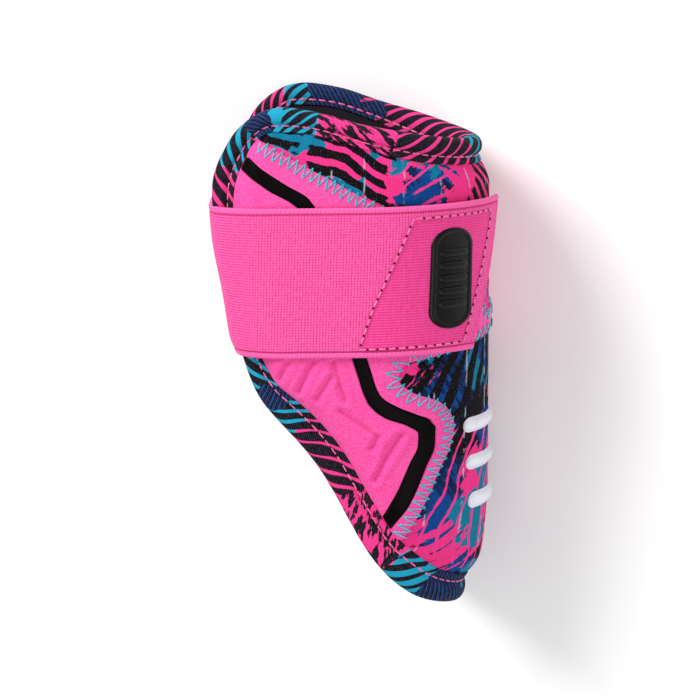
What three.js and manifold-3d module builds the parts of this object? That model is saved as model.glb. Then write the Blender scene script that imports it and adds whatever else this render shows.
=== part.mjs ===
// Elbow guard for baseball: a padded shell bent round the arm, with a rolled edge, a two-lobed side
// panel, let-in bands, a wide elastic strap and moulded trims. It lies on its far side.
import * as THREE from 'three';
import { mergeVertices } from 'three/addons/utils/BufferGeometryUtils.js';
import Module from 'manifold-3d';

const { Vector2, Vector3 } = THREE;
const { clamp, degToRad, lerp, smoothstep } = THREE.MathUtils;

// Driving sizes, in millimetres.
const guardLength = 215; // along the arm, from the tongue to the tips of the wings
const halfGirth = 120; // along the lining, from the spine round to a front edge
const strapWidth = 63.5; // two-and-a-half-inch elastic
const padHeight = 12; // lining and foam, at their thickest
const seamHeight = 7.6; // of the foam where the rolled edge pinches it
const rollWidth = 12; // of the rolled edge, seen from outside
const rollHeight = 8.8;
const liningThick = 1.2;
const panelThick = 1.2;
const inlayThick = 0.8;
const inlayWidth = 6;
const grooveDepth = 0.9;
const patchThick = 0.7;
const strapThick = 1.6;
const ribThick = 1.6;
const gripBase = 0.9;
const gripRise = 0.8; // of the grip's ribs above its base
const gap = 0.3; // between one piece and the next
const layerGap = 0.65; // between curved layers, whose facets dip a little

// How the guard rests: its lean on the far side, and the foam strap's flat where it meets the floor.
const restPitch = degToRad(2.4);
const restRoll = degToRad(8.5);
const floorFlat = 0.8;

// Heights of the layers above the inner face of the lining.
const padLow = liningThick + layerGap;
const panelLow = layerGap;
const panelHigh = panelLow + panelThick;
const patchLow = padHeight + panelHigh + gap;
const strapLow = patchLow + patchThick + gap;
const strapMiddle = strapLow + strapThick / 2;
const gripLow = strapLow + strapThick + gap;

// The cross-section: the heading of the wall, in degrees, along the girth from the spine.
const headings = [
  { along: 0, turn: 0 },
  { along: 0.464, turn: 84 },
  { along: 0.881, turn: 92 },
  { along: 0.9975, turn: 106 },
  { along: 2, turn: 106 },
];

// How the section changes up the arm: its scale, and how far the spine is tucked in.
const taper = [
  { along: 0, girth: 0.62, tuck: -0.667 },
  { along: 0.074, girth: 0.67, tuck: -0.35 },
  { along: 0.149, girth: 0.715, tuck: -0.117 },
  { along: 0.242, girth: 0.77, tuck: 0 },
  { along: 0.512, girth: 0.91, tuck: 0 },
  { along: 0.744, girth: 0.98, tuck: 0 },
  { along: 1, girth: 1.02, tuck: 0 },
];

// The far wing reaches a little further and higher than the near one.
const farReach = 1.03;
const farLift = 0.016 * guardLength;

// Half of the edge, from the tongue's tip over the front edge to the spine's top: shares of
// halfGirth, guardLength and rollWidth.
const edgeTable = [
  { around: 0, along: 0.012, roll: 1.02 },
  { around: 0.103, along: 0.018, roll: 1.03 },
  { around: 0.217, along: 0.039, roll: 1.05 },
  { around: 0.325, along: 0.082, roll: 1.03 },
  { around: 0.413, along: 0.131, roll: 1.03 },
  { around: 0.5, along: 0.2, roll: 1.03 },
  { around: 0.552, along: 0.248, roll: 1.03 },
  { around: 0.613, along: 0.301, roll: 1.06 },
  { around: 0.683, along: 0.348, roll: 1.08 },
  { around: 0.768, along: 0.398, roll: 1 },
  { around: 0.826, along: 0.442, roll: 0.79 },
  { around: 0.877, along: 0.511, roll: 0.61 },
  { around: 0.933, along: 0.642, roll: 0.58 },
  { around: 0.979, along: 0.744, roll: 0.63 },
  { around: 0.997, along: 0.849, roll: 0.8 },
  { around: 0.983, along: 0.887, roll: 0.8 },
  { around: 0.957, along: 0.92, roll: 0.77 },
  { around: 0.927, along: 0.95, roll: 0.74 },
  { around: 0.882, along: 0.976, roll: 0.73 },
  { around: 0.83, along: 0.993, roll: 0.73 },
  { around: 0.764, along: 1, roll: 0.8 },
  { around: 0.641, along: 0.991, roll: 0.73 },
  { around: 0.511, along: 0.971, roll: 0.73 },
  { around: 0.373, along: 0.955, roll: 0.87 },
  { around: 0.256, along: 0.943, roll: 0.92 },
  { around: 0.095, along: 0.932, roll: 0.87 },
  { around: 0, along: 0.93, roll: 0.86 },
];
const edgeCount = edgeTable.length * 2 - 2;
const frontLow = 11; // row of the table where the front edge starts
const frontHigh = 14; // and where it ends
const wingTip = 20;
const spineTop = edgeTable.length - 1;

// The panel's side towards the spine, and the middle of its let-in band.
const panelTable = [
  { along: 0.154, side: 0.309 },
  { along: 0.184, side: 0.298 },
  { along: 0.234, side: 0.271 },
  { along: 0.3, side: 0.2375 },
  { along: 0.343, side: 0.211 },
  { along: 0.381, side: 0.202 },
  { along: 0.408, side: 0.217 },
  { along: 0.431, side: 0.25 },
  { along: 0.455, side: 0.33 },
  { along: 0.484, side: 0.368 },
  { along: 0.509, side: 0.3525 },
  { along: 0.526, side: 0.233 },
  { along: 0.54, side: 0.1275 },
  { along: 0.549, side: 0.05 },
  { along: 0.554, side: 0.025 },
  { along: 0.586, side: 0.025 },
  { along: 0.6, side: 0.067 },
  { along: 0.698, side: 0.233 },
  { along: 0.8135, side: 0.432 },
  { along: 0.851, side: 0.545 },
  { along: 0.903, side: 0.716 },
  { along: 0.942, side: 0.844 },
];
const bandTable = [
  { along: 0.163, middle: 0.383 },
  { along: 0.1995, middle: 0.358 },
  { along: 0.243, middle: 0.328 },
  { along: 0.311, middle: 0.2975 },
  { along: 0.349, middle: 0.28 },
  { along: 0.375, middle: 0.282 },
  { along: 0.393, middle: 0.3075 },
  { along: 0.41, middle: 0.356 },
  { along: 0.424, middle: 0.393 },
  { along: 0.441, middle: 0.425 },
  { along: 0.463, middle: 0.447 },
  { along: 0.489, middle: 0.463 },
  { along: 0.5195, middle: 0.482 },
  { along: 0.809, middle: 0.668 },
  { along: 0.824, middle: 0.693 },
  { along: 0.853, middle: 0.776 },
  { along: 0.879, middle: 0.845 },
  { along: 0.8995, middle: 0.8925 },
  { along: 0.93, middle: 0.967 },
];

// Smooth value of one column of a table at a place along it, without overshoot.
function smoothAt(table, column, along) {
  const last = table.length - 1;
  const steps = table.slice(1).map((row, i) => row.along - table[i].along);
  const rises = steps.map((step, i) => (table[i + 1][column] - table[i][column]) / step);
  const slopeAt = (i) => {
    if (i === 0) return rises[0];
    if (i === last) return rises[last - 1];
    if (rises[i - 1] * rises[i] <= 0) return 0;
    const before = 2 * steps[i] + steps[i - 1];
    const after = steps[i] + 2 * steps[i - 1];
    return (before + after) / (before / rises[i - 1] + after / rises[i]);
  };
  let i = 0;
  while (i < last - 1 && along > table[i + 1].along) i += 1;
  const t = clamp((along - table[i].along) / steps[i], 0, 1);
  const start = (2 * t ** 3 - 3 * t ** 2 + 1) * table[i][column];
  const end = (3 * t ** 2 - 2 * t ** 3) * table[i + 1][column];
  const startSlope = (t ** 3 - 2 * t ** 2 + t) * steps[i] * slopeAt(i);
  const endSlope = (t ** 3 - t ** 2) * steps[i] * slopeAt(i + 1);
  return start + end + startSlope + endSlope;
}

// Even steps from one value to another, both ends included.
function steps(from, to, count) {
  return Array.from({ length: count + 1 }, (_, i) => lerp(from, to, i / count));
}

// The section of the lining at full scale, traced from the spine by its heading.
const traceStep = 1;
const trace = [new Vector2(0, 0)];
for (let arc = traceStep / 2; arc < halfGirth * 1.8; arc += traceStep) {
  const share = arc / halfGirth;
  const row = headings.findIndex((heading) => heading.along > share);
  const [from, to] = [headings[row - 1], headings[row]];
  const turn = degToRad(lerp(from.turn, to.turn, (share - from.along) / (to.along - from.along)));
  const move = new Vector2(-Math.sin(turn), Math.cos(turn)).multiplyScalar(traceStep);
  trace.push(trace.at(-1).clone().add(move));
}

function sectionAt(arc) {
  const place = arc / traceStep;
  const index = Math.min(Math.floor(place), trace.length - 2);
  return trace[index].clone().lerp(trace[index + 1], place - index);
}

// A point of the lining's inner face: around from the spine (near side positive), up the arm.
function liningPoint(around, up) {
  const far = around < 0;
  const share = up / guardLength;
  const girth = smoothAt(taper, 'girth', share);
  const tuck = smoothAt(taper, 'tuck', share) * padHeight;
  const flat = sectionAt((Math.abs(around) * (far ? farReach : 1)) / girth);
  const wing = smoothstep(-around, 0.15 * halfGirth, 0.65 * halfGirth);
  const lift = farLift * wing * smoothstep(share, 0.55, 0.95);
  const side = far ? -1 : 1;
  return new Vector3(girth * flat.x + tuck, up + lift, side * girth * flat.y);
}

// The same point raised above the lining along its outward normal.
function wrap(around, up, height) {
  const probe = 0.5;
  const upward = liningPoint(around, up + probe).sub(liningPoint(around, up - probe));
  const onward = liningPoint(around + probe, up).sub(liningPoint(around - probe, up));
  const outward = upward.cross(onward).normalize();
  return liningPoint(around, up).addScaledVector(outward, height);
}

// The whole edge in the flat, as one closed curve that carries the roll's width as its third value.
const edgePoint = (row, side) =>
  new Vector3(side * row.around * halfGirth, row.along * guardLength, row.roll * rollWidth);
const nearEdge = edgeTable.map((row) => edgePoint(row, 1));
const farEdge = edgeTable.slice(1, -1).map((row) => edgePoint(row, -1));
const edge = new THREE.CatmullRomCurve3([...nearEdge, ...farEdge.reverse()], true, 'centripetal');

// A place on the edge, moved inwards by a share of the roll's width and by a distance.
function inFromEdge(row, share, extra = 0) {
  const t = (((row / edgeCount) % 1) + 1) % 1;
  const point = edge.getPoint(t);
  const onward = edge.getTangent(t);
  const inward = new Vector2(-onward.y, onward.x).normalize();
  return new Vector2(point.x, point.y).addScaledVector(inward, point.z * share + extra);
}

// How far round the seam lies, at a height on the near side.
function seamAt(up) {
  let [low, high] = [0, wingTip];
  for (let turn = 0; turn < 30; turn += 1) {
    const middle = (low + high) / 2;
    if (inFromEdge(middle, 1).y < up) low = middle;
    else high = middle;
  }
  return inFromEdge(low, 1).x;
}

// How far round the front edge lies, at a height.
function frontAt(up) {
  let [low, high] = [frontLow - 2, frontHigh + 2];
  for (let turn = 0; turn < 30; turn += 1) {
    const middle = (low + high) / 2;
    if (inFromEdge(middle, 0).y < up) low = middle;
    else high = middle;
  }
  return inFromEdge(low, 0).x;
}

// The foam swells up from the seam, over a shoulder.
const shoulder = 0.83 * padHeight;
const seamLine = Array.from({ length: edgeCount * 3 }, (_, i) => inFromEdge(i / 3, 1));
function seamDistance(around, up) {
  const here = new Vector2(around, up);
  let nearest = Infinity;
  seamLine.forEach((from, i) => {
    const along = seamLine[(i + 1) % seamLine.length].clone().sub(from);
    const share = clamp(here.clone().sub(from).dot(along) / along.lengthSq(), 0, 1);
    nearest = Math.min(nearest, here.distanceTo(from.clone().addScaledVector(along, share)));
  });
  return nearest;
}
function padTop(around, up, ease = 0) {
  const rise = 1 - clamp((seamDistance(around, up) + ease) / shoulder, 0, 1);
  return lerp(seamHeight, padHeight, 1 - rise ** 2);
}

// A cover drawn over the shoulder eases away from it a little.
const coverEase = 0.15 * padHeight;
const coverBase = (around, up) => padTop(around, up, coverEase);

// A closed sheet over a grid: its outer and inner face, and a wall along each side of the kept
// cells. place(row, column) gives the outer and inner point; rows go up, columns go round.
function sheet(rowCount, columnCount, place, keep = () => true) {
  const positions = [];
  const index = [];
  const wide = columnCount + 1;
  for (let row = 0; row <= rowCount; row += 1) {
    for (let column = 0; column <= columnCount; column += 1) {
      const { high, low } = place(row, column);
      positions.push(...high.toArray(), ...low.toArray());
    }
  }
  const corner = (row, column) => 2 * (row * wide + column);
  const kept = (row, column) =>
    row >= 0 && column >= 0 && row < rowCount && column < columnCount && keep(row, column);
  const wall = (from, to) => index.push(to, from, from + 1, to, from + 1, to + 1);
  for (let row = 0; row < rowCount; row += 1) {
    for (let column = 0; column < columnCount; column += 1) {
      if (!kept(row, column)) continue;
      const a = corner(row, column);
      const b = corner(row, column + 1);
      const c = corner(row + 1, column + 1);
      const d = corner(row + 1, column);
      index.push(a, d, c, a, c, b);
      index.push(a + 1, c + 1, d + 1, a + 1, b + 1, c + 1);
      if (!kept(row, column - 1)) wall(a, d);
      if (!kept(row + 1, column)) wall(d, c);
      if (!kept(row, column + 1)) wall(c, b);
      if (!kept(row - 1, column)) wall(b, a);
    }
  }
  const geometry = new THREE.BufferGeometry();
  geometry.setAttribute('position', new THREE.Float32BufferAttribute(positions, 3));
  geometry.setIndex(index);
  return geometry;
}

// The field inside the seam as a ladder: its rungs join the lower edge to the upper one, and the
// outermost rung on each side is the front edge.
function ladderPlace(across, share, inset) {
  const reach = Math.abs(across);
  const low = inFromEdge(frontLow * reach, 1, inset);
  const high = inFromEdge(lerp(spineTop, frontHigh, reach), 1, inset);
  const front = inFromEdge(lerp(frontLow, frontHigh, share), 1, inset);
  const frontStart = inFromEdge(frontLow, 1, inset);
  const frontEnd = inFromEdge(frontHigh, 1, inset);
  const bend = front.sub(frontStart.lerp(frontEnd, share)).multiplyScalar(reach ** 6);
  const place = low.lerp(high, share).add(bend);
  return new Vector2(Math.sign(across) * place.x, place.y);
}

// Shares from 0 to 1 that crowd towards both ends.
const crowded = (share, amount) => share - (amount * Math.sin(2 * Math.PI * share)) / (2 * Math.PI);

function ladder(rungCount, stepCount, inset, lowAt, highAt) {
  return sheet(stepCount, rungCount, (row, column) => {
    const across = lerp(-1, 1, column / rungCount);
    const share = crowded(row / stepCount, 0.8);
    const { x, y } = ladderPlace(across, share, inset);
    return { high: wrap(x, y, highAt(x, y)), low: wrap(x, y, lowAt(x, y)) };
  });
}

function padGeometry(raise = 0) {
  return ladder(42, 11, gap, () => padLow, (x, y) => padTop(x, y) + raise);
}

function liningGeometry() {
  return ladder(22, 6, 3 * gap, () => 0, () => liningThick);
}

// The rolled edge: a flattened tube swept round the edge. Shares of the roll's width and height.
const rollSection = [
  { inward: 0, height: 0.5 },
  { inward: 0.07, height: 0.8 },
  { inward: 0.25, height: 0.98 },
  { inward: 0.62, height: 0.98 },
  { inward: 1, height: 0.84 },
  { inward: 1, height: -0.02 },
  { inward: 0.55, height: -0.06 },
  { inward: 0.12, height: 0.12 },
];
function rollGeometry() {
  const stations = edgeCount * 2;
  const points = [];
  for (let station = 0; station < stations; station += 1) {
    rollSection.forEach(({ inward, height }) => {
      const { x, y } = inFromEdge(station / 2, inward);
      points.push(wrap(x, y, height * rollHeight));
    });
  }
  const count = rollSection.length;
  const at = (station, k) => (station % stations) * count + (k % count);
  const index = [];
  for (let station = 0; station < stations; station += 1) {
    for (let k = 0; k < count; k += 1) {
      const a = at(station, k);
      const b = at(station, k + 1);
      const c = at(station + 1, k + 1);
      const d = at(station + 1, k);
      index.push(a, b, c, a, c, d);
    }
  }
  const geometry = new THREE.BufferGeometry().setFromPoints(points);
  geometry.setIndex(index);
  return geometry;
}

// Heights of the panel's rows, closer where its outline turns; the waist is one of the steps.
const waistLow = 0.554;
const waistHigh = 0.586;
const panelRows = [
  ...steps(0.165, 0.34, 6),
  ...steps(0.36, 0.455, 6),
  ...steps(0.48, 0.509, 2),
  ...steps(0.526, 0.549, 2),
  waistLow,
  waistHigh,
  ...steps(0.6, 0.8, 5),
  ...steps(0.825, 0.94, 6),
];
const waistRow = panelRows.indexOf(waistLow);

// One row of a lobe: where its two sides and the let-in band lie, from the spine outwards.
function lobeRow(share) {
  const probe = 0.004;
  const up = share * guardLength;
  const outer = seamAt(up) - 2 * gap;
  const inner = smoothAt(panelTable, 'side', share) * halfGirth;
  const middle = smoothAt(bandTable, 'middle', share) * halfGirth;
  const before = smoothAt(bandTable, 'middle', share - probe);
  const after = smoothAt(bandTable, 'middle', share + probe);
  const slope = ((after - before) * halfGirth) / (2 * probe * guardLength);
  const halfBand = (inlayWidth / 2) * Math.hypot(1, slope);
  const start = middle - halfBand;
  const sliver = gap;
  const bandOuter = clamp(middle + halfBand, inner + 5 * sliver, outer - 2 * sliver);
  const bandInner = clamp(start, inner + 2 * sliver, bandOuter - 2 * sliver);
  const depth = grooveDepth * clamp((outer - start) / 2 - 1, 0, 1);
  return { up, outer, inner, bandOuter, bandInner, depth };
}

// Columns of a lobe from the spine outwards: the edge strip, the groove, the wide field.
const stripCells = 6;
const fieldCells = 1;
const shoulderShares = [1.1, 0.6, 0.25, 0];
function lobeColumns(row) {
  const floorInset = gap / 2;
  const plain = (around) => ({ around, depth: 0 });
  const start = row.bandOuter + floorInset;
  const slopeWidth = Math.min(shoulder, (row.outer - start) * 0.8);
  const slope = shoulderShares.map((share) => row.outer - share * slopeWidth);
  return [
    ...steps(row.inner, row.bandInner - floorInset, stripCells).map(plain),
    { around: row.bandInner + floorInset, depth: row.depth },
    { around: row.bandOuter - floorInset, depth: row.depth },
    ...[...steps(start, slope[0], fieldCells), ...slope.slice(1)].map(plain),
  ];
}

function panelGeometry() {
  const rows = panelRows.map(lobeRow);
  const lobes = rows.map(lobeColumns);
  const wide = lobes[0].length;
  const middle = wide - 1; // the cell over the spine, kept at the waist alone
  return sheet(
    panelRows.length - 1,
    2 * wide - 1,
    (row, column) => {
      const near = column >= wide;
      const cell = lobes[row][near ? column - wide : wide - 1 - column];
      const around = near ? cell.around : -cell.around;
      const up = rows[row].up;
      const base = coverBase(cell.around, up);
      return {
        high: wrap(around, up, base + panelHigh - cell.depth),
        low: wrap(around, up, base + panelLow),
      };
    },
    (row, column) => column !== middle || row === waistRow,
  );
}

// The black band in the groove of one lobe.
function inlayGeometry(side) {
  const rows = panelRows.map(lobeRow).filter((row) => row.depth === grooveDepth);
  const clearance = 1.5 * gap;
  const floor = panelHigh - grooveDepth + gap;
  return sheet(rows.length - 1, 1, (row, column) => {
    const { up, bandInner, bandOuter } = rows[row];
    const share = side > 0 ? column : 1 - column;
    const around = lerp(bandInner + clearance, bandOuter - clearance, share);
    const base = coverBase(around, up);
    return {
      high: wrap(side * around, up, base + floor + inlayThick),
      low: wrap(side * around, up, base + floor),
    };
  });
}

// The strap's lower edge climbs a little towards its near end, which is cut at a slant.
const strapBottom = 0.522 * guardLength;
const strapRise = 0.976 * strapWidth; // of its edges in the flat pattern, which spreads on the pad
const strapLean = 0.03 * strapWidth;
const nearEndLow = 0.167 * halfGirth;
const nearEndHigh = 0.025 * halfGirth;
const farEnd = 0.24 * halfGirth;
const crossBulge = 0.02 * halfGirth;

// The strap's way round a front edge: past the front edge as a share of halfGirth, and above the
// lining as a share of strapMiddle.
const cornerTable = [
  { past: -0.217, height: 1 },
  { past: -0.142, height: 0.972 },
  { past: -0.083, height: 0.884 },
  { past: -0.04, height: 0.715 },
  { past: -0.01, height: 0.602 },
  { past: 0.008, height: 0.451 },
  { past: 0.015, height: 0.226 },
];

function strapRow(share) {
  const flatUp = strapBottom + share * strapRise;
  const start = lerp(nearEndLow, nearEndHigh, share);
  const upAt = (around) => flatUp + strapLean * (1 - clamp(around / halfGirth, 0, 1));
  const front = frontAt(flatUp);
  const bends = cornerTable.map(({ past, height }) => ({
    around: front + past * halfGirth,
    height: height * strapMiddle,
  }));
  const nearFlank = steps(start, bends[0].around, 14).slice(0, -1);
  const farFlank = steps(-bends[0].around, -farEnd, 11).slice(1);
  const nearCorner = bends.map(({ around, height }) => wrap(around, flatUp, height));
  const farCorner = bends.map(({ around, height }) => wrap(-around, flatUp, height));
  const [leave, arrive] = [nearCorner.at(-1), farCorner.at(-1)];
  const crossing = steps(0, 1, 5).slice(1, -1).map((t) => {
    const bulge = 4 * t * (1 - t) * crossBulge;
    return leave.clone().lerp(arrive, t).add(new Vector3(-bulge, 0, 0));
  });
  return [
    ...nearFlank.map((around) => wrap(around, upAt(around), strapMiddle)),
    ...nearCorner,
    ...crossing,
    ...farCorner.reverse(),
    ...farFlank.map((around) => wrap(around, flatUp, strapMiddle)),
  ];
}

function strapGeometry() {
  const rowCount = 4;
  const rows = steps(0, 1, rowCount).map(strapRow);
  const last = rows[0].length - 1;
  return sheet(rowCount, last, (row, column) => {
    const upward = rows[rowCount][column].clone().sub(rows[0][column]);
    const after = rows[row][Math.min(column + 1, last)];
    const before = rows[row][Math.max(column - 1, 0)];
    const outward = upward.cross(after.clone().sub(before)).normalize();
    const middle = rows[row][column];
    return {
      high: middle.clone().addScaledVector(outward, strapThick / 2),
      low: middle.clone().addScaledVector(outward, -strapThick / 2),
    };
  });
}

// The closing patch under the strap's near end, a trapezoid with one slanted side: shares of
// strapWidth above its bottom, and of halfGirth round to its two sides.
const patchEnds = [
  { up: 0.083, inner: 0.2, outer: 0.483 },
  { up: 0.918, inner: 0.0875, outer: 0.35 },
];
function patchGeometry() {
  const [low, high] = patchEnds;
  return sheet(5, 7, (row, column) => {
    const share = row / 5;
    const inner = lerp(low.inner, high.inner, share);
    const outer = lerp(low.outer, high.outer, share);
    const around = lerp(inner, outer, column / 7) * halfGirth;
    const up = strapBottom + lerp(low.up, high.up, share) * strapWidth;
    return { high: wrap(around, up, patchLow + patchThick), low: wrap(around, up, patchLow) };
  });
}

// The grip: an oblong with round ends and raised cross ribs.
const grip = {
  around: 0.242 * halfGirth,
  up: strapBottom + 0.513 * strapWidth,
  width: 0.244 * strapWidth,
  length: 0.66 * strapWidth,
  ribs: 5,
};
function gripGeometry() {
  const half = grip.length / 2;
  const round = grip.width / 2;
  const pitch = (grip.length - grip.width) / grip.ribs;
  const slope = gripRise / 2;
  const caps = [0.06, 0.3, 0.65, 1].map((share) => (1 - Math.cos((share * Math.PI) / 2)) * round);
  const rows = caps.map((inset) => ({ place: inset - half, rise: 0 }));
  for (let rib = 0; rib < grip.ribs; rib += 1) {
    const start = round - half + (rib + 0.22) * pitch;
    const end = start + 0.56 * pitch;
    rows.push({ place: start, rise: 0 }, { place: start + slope, rise: gripRise });
    rows.push({ place: end - slope, rise: gripRise }, { place: end, rise: 0 });
  }
  rows.push(...caps.reverse().map((inset) => ({ place: half - inset, rise: 0 })));
  return sheet(rows.length - 1, 4, (row, column) => {
    const { place, rise } = rows[row];
    const past = Math.max(Math.abs(place) - (half - round), 0);
    const reach = Math.sqrt(round ** 2 - past ** 2);
    const around = grip.around + lerp(-reach, reach, column / 4);
    const up = grip.up + place;
    return { high: wrap(around, up, gripLow + gripBase + rise), low: wrap(around, up, gripLow) };
  });
}

// White moulded ribs across the spine, each shorter than the one above.
const ribTable = [
  { up: 0.375, reach: 0.165 },
  { up: 0.3, reach: 0.15 },
  { up: 0.225, reach: 0.135 },
];
const ribHalf = 0.015 * guardLength;
function ribGeometry({ up, reach }) {
  const half = reach * halfGirth;
  const columns = [-1, -0.93, ...steps(-0.8, 0.8, 7), 0.93, 1];
  return sheet(2, columns.length - 1, (row, column) => {
    const around = columns[column] * half;
    const past = clamp((Math.abs(around) - (half - ribHalf)) / ribHalf, 0, 0.94);
    const rise = (row - 1) * ribHalf * Math.sqrt(1 - past ** 2);
    const crown = row === 1 ? ribThick : ribThick * 0.6;
    const height = up * guardLength + rise;
    const base = padTop(around, height) + layerGap;
    return { high: wrap(around, height, base + crown), low: wrap(around, height, base) };
  });
}

// The strap alone touches the floor, where it is pressed flat: cut there by a block.
const wasm = await Module();
wasm.setup();

function toSolid(geometry) {
  const bare = geometry.clone();
  bare.deleteAttribute('normal');
  bare.deleteAttribute('uv');
  const merged = mergeVertices(bare, 1e-4);
  const vertProperties = new Float32Array(merged.attributes.position.array);
  const triVerts = new Uint32Array(merged.index.array);
  return new wasm.Manifold(new wasm.Mesh({ numProp: 3, vertProperties, triVerts }));
}

function fromSolid(solid) {
  const { vertProperties, triVerts } = solid.getMesh();
  const geometry = new THREE.BufferGeometry();
  geometry.setAttribute('position', new THREE.BufferAttribute(vertProperties, 3));
  geometry.setIndex(new THREE.BufferAttribute(triVerts, 1));
  return geometry;
}

const lean = new THREE.Matrix4().makeRotationFromEuler(new THREE.Euler(restPitch, restRoll, 0));

function lowestPoint(geometry) {
  const turned = geometry.clone().applyMatrix4(lean);
  turned.computeBoundingBox();
  return turned.boundingBox.min.z;
}

// A cover cut by the foam under it, which keeps a gap.
const raisedPad = toSolid(padGeometry(gap));
const overPad = (geometry) => fromSolid(toSolid(geometry).subtract(raisedPad));

const strap = strapGeometry();
const floorHeight = lowestPoint(strap) + floorFlat;

function pressedFlat(geometry) {
  const size = 3 * guardLength;
  const block = new THREE.BoxGeometry(size, size, size);
  block.translate(0, 0, floorHeight - size / 2);
  block.applyMatrix4(lean.clone().invert());
  return fromSolid(toSolid(geometry).subtract(toSolid(block)));
}

// Colours and surfaces, one material for each piece.
const finishes = {
  knit: { color: 0x241c3a, roughness: 0.85 },
  liningCloth: { color: 0x15131a, roughness: 0.9 },
  bindingCloth: { color: 0x1b2d4a, roughness: 0.85 },
  suede: { color: 0xfc62b2, roughness: 0.75 },
  blackMoulding: { color: 0x141317, roughness: 0.4 },
  elastic: { color: 0xf3509d, roughness: 0.85 },
  whiteMoulding: { color: 0xe6e7ee, roughness: 0.45 },
};

const guard = new THREE.Group();

function addPiece(name, geometry, finish) {
  const material = new THREE.MeshStandardMaterial({ ...finishes[finish], metalness: 0 });
  const mesh = new THREE.Mesh(geometry, material);
  mesh.name = name;
  guard.add(mesh);
}

addPiece('pad', padGeometry(), 'knit');
addPiece('lining', liningGeometry(), 'liningCloth');
addPiece('edge_binding', rollGeometry(), 'bindingCloth');
addPiece('side_panel', overPad(panelGeometry()), 'suede');
addPiece('inlay_near', overPad(inlayGeometry(1)), 'blackMoulding');
addPiece('inlay_far', overPad(inlayGeometry(-1)), 'blackMoulding');
addPiece('strap', pressedFlat(strap), 'elastic');
addPiece('hook_patch', patchGeometry(), 'elastic');
addPiece('strap_grip', gripGeometry(), 'blackMoulding');
ribTable.forEach((rib, i) => addPiece(`spine_rib_${i + 1}`, ribGeometry(rib), 'whiteMoulding'));

// Stand the guard on its flat, with the origin under the middle of its bounds.
guard.setRotationFromMatrix(lean);
guard.updateMatrixWorld(true);
const bounds = new THREE.Box3().setFromObject(guard, true);
guard.position.set(
  -(bounds.min.x + bounds.max.x) / 2,
  -(bounds.min.y + bounds.max.y) / 2,
  -floorHeight,
);
guard.updateMatrixWorld(true);

export default guard;
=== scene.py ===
"""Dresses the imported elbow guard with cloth, rolled edge, elastic, moulded trims and threads."""

import logging
import math
from contextlib import contextmanager
from dataclasses import dataclass
from enum import Enum
from typing import Any, Iterator, NamedTuple, Optional, Sequence

import bpy
import numpy as np
from mathutils import Matrix, Vector


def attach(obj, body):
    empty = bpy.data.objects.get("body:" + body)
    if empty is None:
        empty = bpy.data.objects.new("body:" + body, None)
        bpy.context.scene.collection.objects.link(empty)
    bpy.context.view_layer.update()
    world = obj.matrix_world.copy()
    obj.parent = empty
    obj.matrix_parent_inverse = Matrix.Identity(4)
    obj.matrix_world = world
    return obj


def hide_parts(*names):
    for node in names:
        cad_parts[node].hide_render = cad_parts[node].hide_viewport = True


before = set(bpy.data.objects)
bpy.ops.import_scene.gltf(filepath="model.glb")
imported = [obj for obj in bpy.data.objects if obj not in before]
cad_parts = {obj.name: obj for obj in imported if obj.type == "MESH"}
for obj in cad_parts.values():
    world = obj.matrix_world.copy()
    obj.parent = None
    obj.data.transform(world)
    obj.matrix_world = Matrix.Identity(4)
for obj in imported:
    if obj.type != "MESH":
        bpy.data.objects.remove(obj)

Array = np.ndarray
Piece = bpy.types.Object
LOG = logging.getLogger("elbow_guard")
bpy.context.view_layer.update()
MILLI = 0.001
UV_MM = 100.0  # one unit of every UV map is this many millimetres


class Heading(NamedTuple):
    """The wall's heading at a share of the half girth from the spine."""

    along: float
    turn: float


class Taper(NamedTuple):
    """The section's scale and the spine's tuck at a share of the length."""

    along: float
    girth: float
    tuck: float


class EdgeRow(NamedTuple):
    """A point of the outer edge: shares of the half girth, the length and the roll's width."""

    around: float
    along: float
    roll: float


class Track(NamedTuple):
    """A value across the panel at a share of the length."""

    along: float
    value: float


HEADINGS = (Heading(0, 0), Heading(0.464, 84), Heading(0.881, 92), Heading(0.9975, 106), Heading(2, 106))
TAPERS = (
    Taper(0, 0.62, -0.667),
    Taper(0.074, 0.67, -0.35),
    Taper(0.149, 0.715, -0.117),
    Taper(0.242, 0.77, 0),
    Taper(0.512, 0.91, 0),
    Taper(0.744, 0.98, 0),
    Taper(1, 1.02, 0),
)
EDGE_ROWS = (
    EdgeRow(0, 0.012, 1.02),
    EdgeRow(0.103, 0.018, 1.03),
    EdgeRow(0.217, 0.039, 1.05),
    EdgeRow(0.325, 0.082, 1.03),
    EdgeRow(0.413, 0.131, 1.03),
    EdgeRow(0.5, 0.2, 1.03),
    EdgeRow(0.552, 0.248, 1.03),
    EdgeRow(0.613, 0.301, 1.06),
    EdgeRow(0.683, 0.348, 1.08),
    EdgeRow(0.768, 0.398, 1),
    EdgeRow(0.826, 0.442, 0.79),
    EdgeRow(0.877, 0.511, 0.61),
    EdgeRow(0.933, 0.642, 0.58),
    EdgeRow(0.979, 0.744, 0.63),
    EdgeRow(0.997, 0.849, 0.8),
    EdgeRow(0.983, 0.887, 0.8),
    EdgeRow(0.957, 0.92, 0.77),
    EdgeRow(0.927, 0.95, 0.74),
    EdgeRow(0.882, 0.976, 0.73),
    EdgeRow(0.83, 0.993, 0.73),
    EdgeRow(0.764, 1, 0.8),
    EdgeRow(0.641, 0.991, 0.73),
    EdgeRow(0.511, 0.971, 0.73),
    EdgeRow(0.373, 0.955, 0.87),
    EdgeRow(0.256, 0.943, 0.92),
    EdgeRow(0.095, 0.932, 0.87),
    EdgeRow(0, 0.93, 0.86),
)
FRONT_LOW = 11
FRONT_HIGH = 14
WING_TIP = 20
SPINE_TOP = len(EDGE_ROWS) - 1
EDGE_COUNT = 2 * len(EDGE_ROWS) - 2
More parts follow.
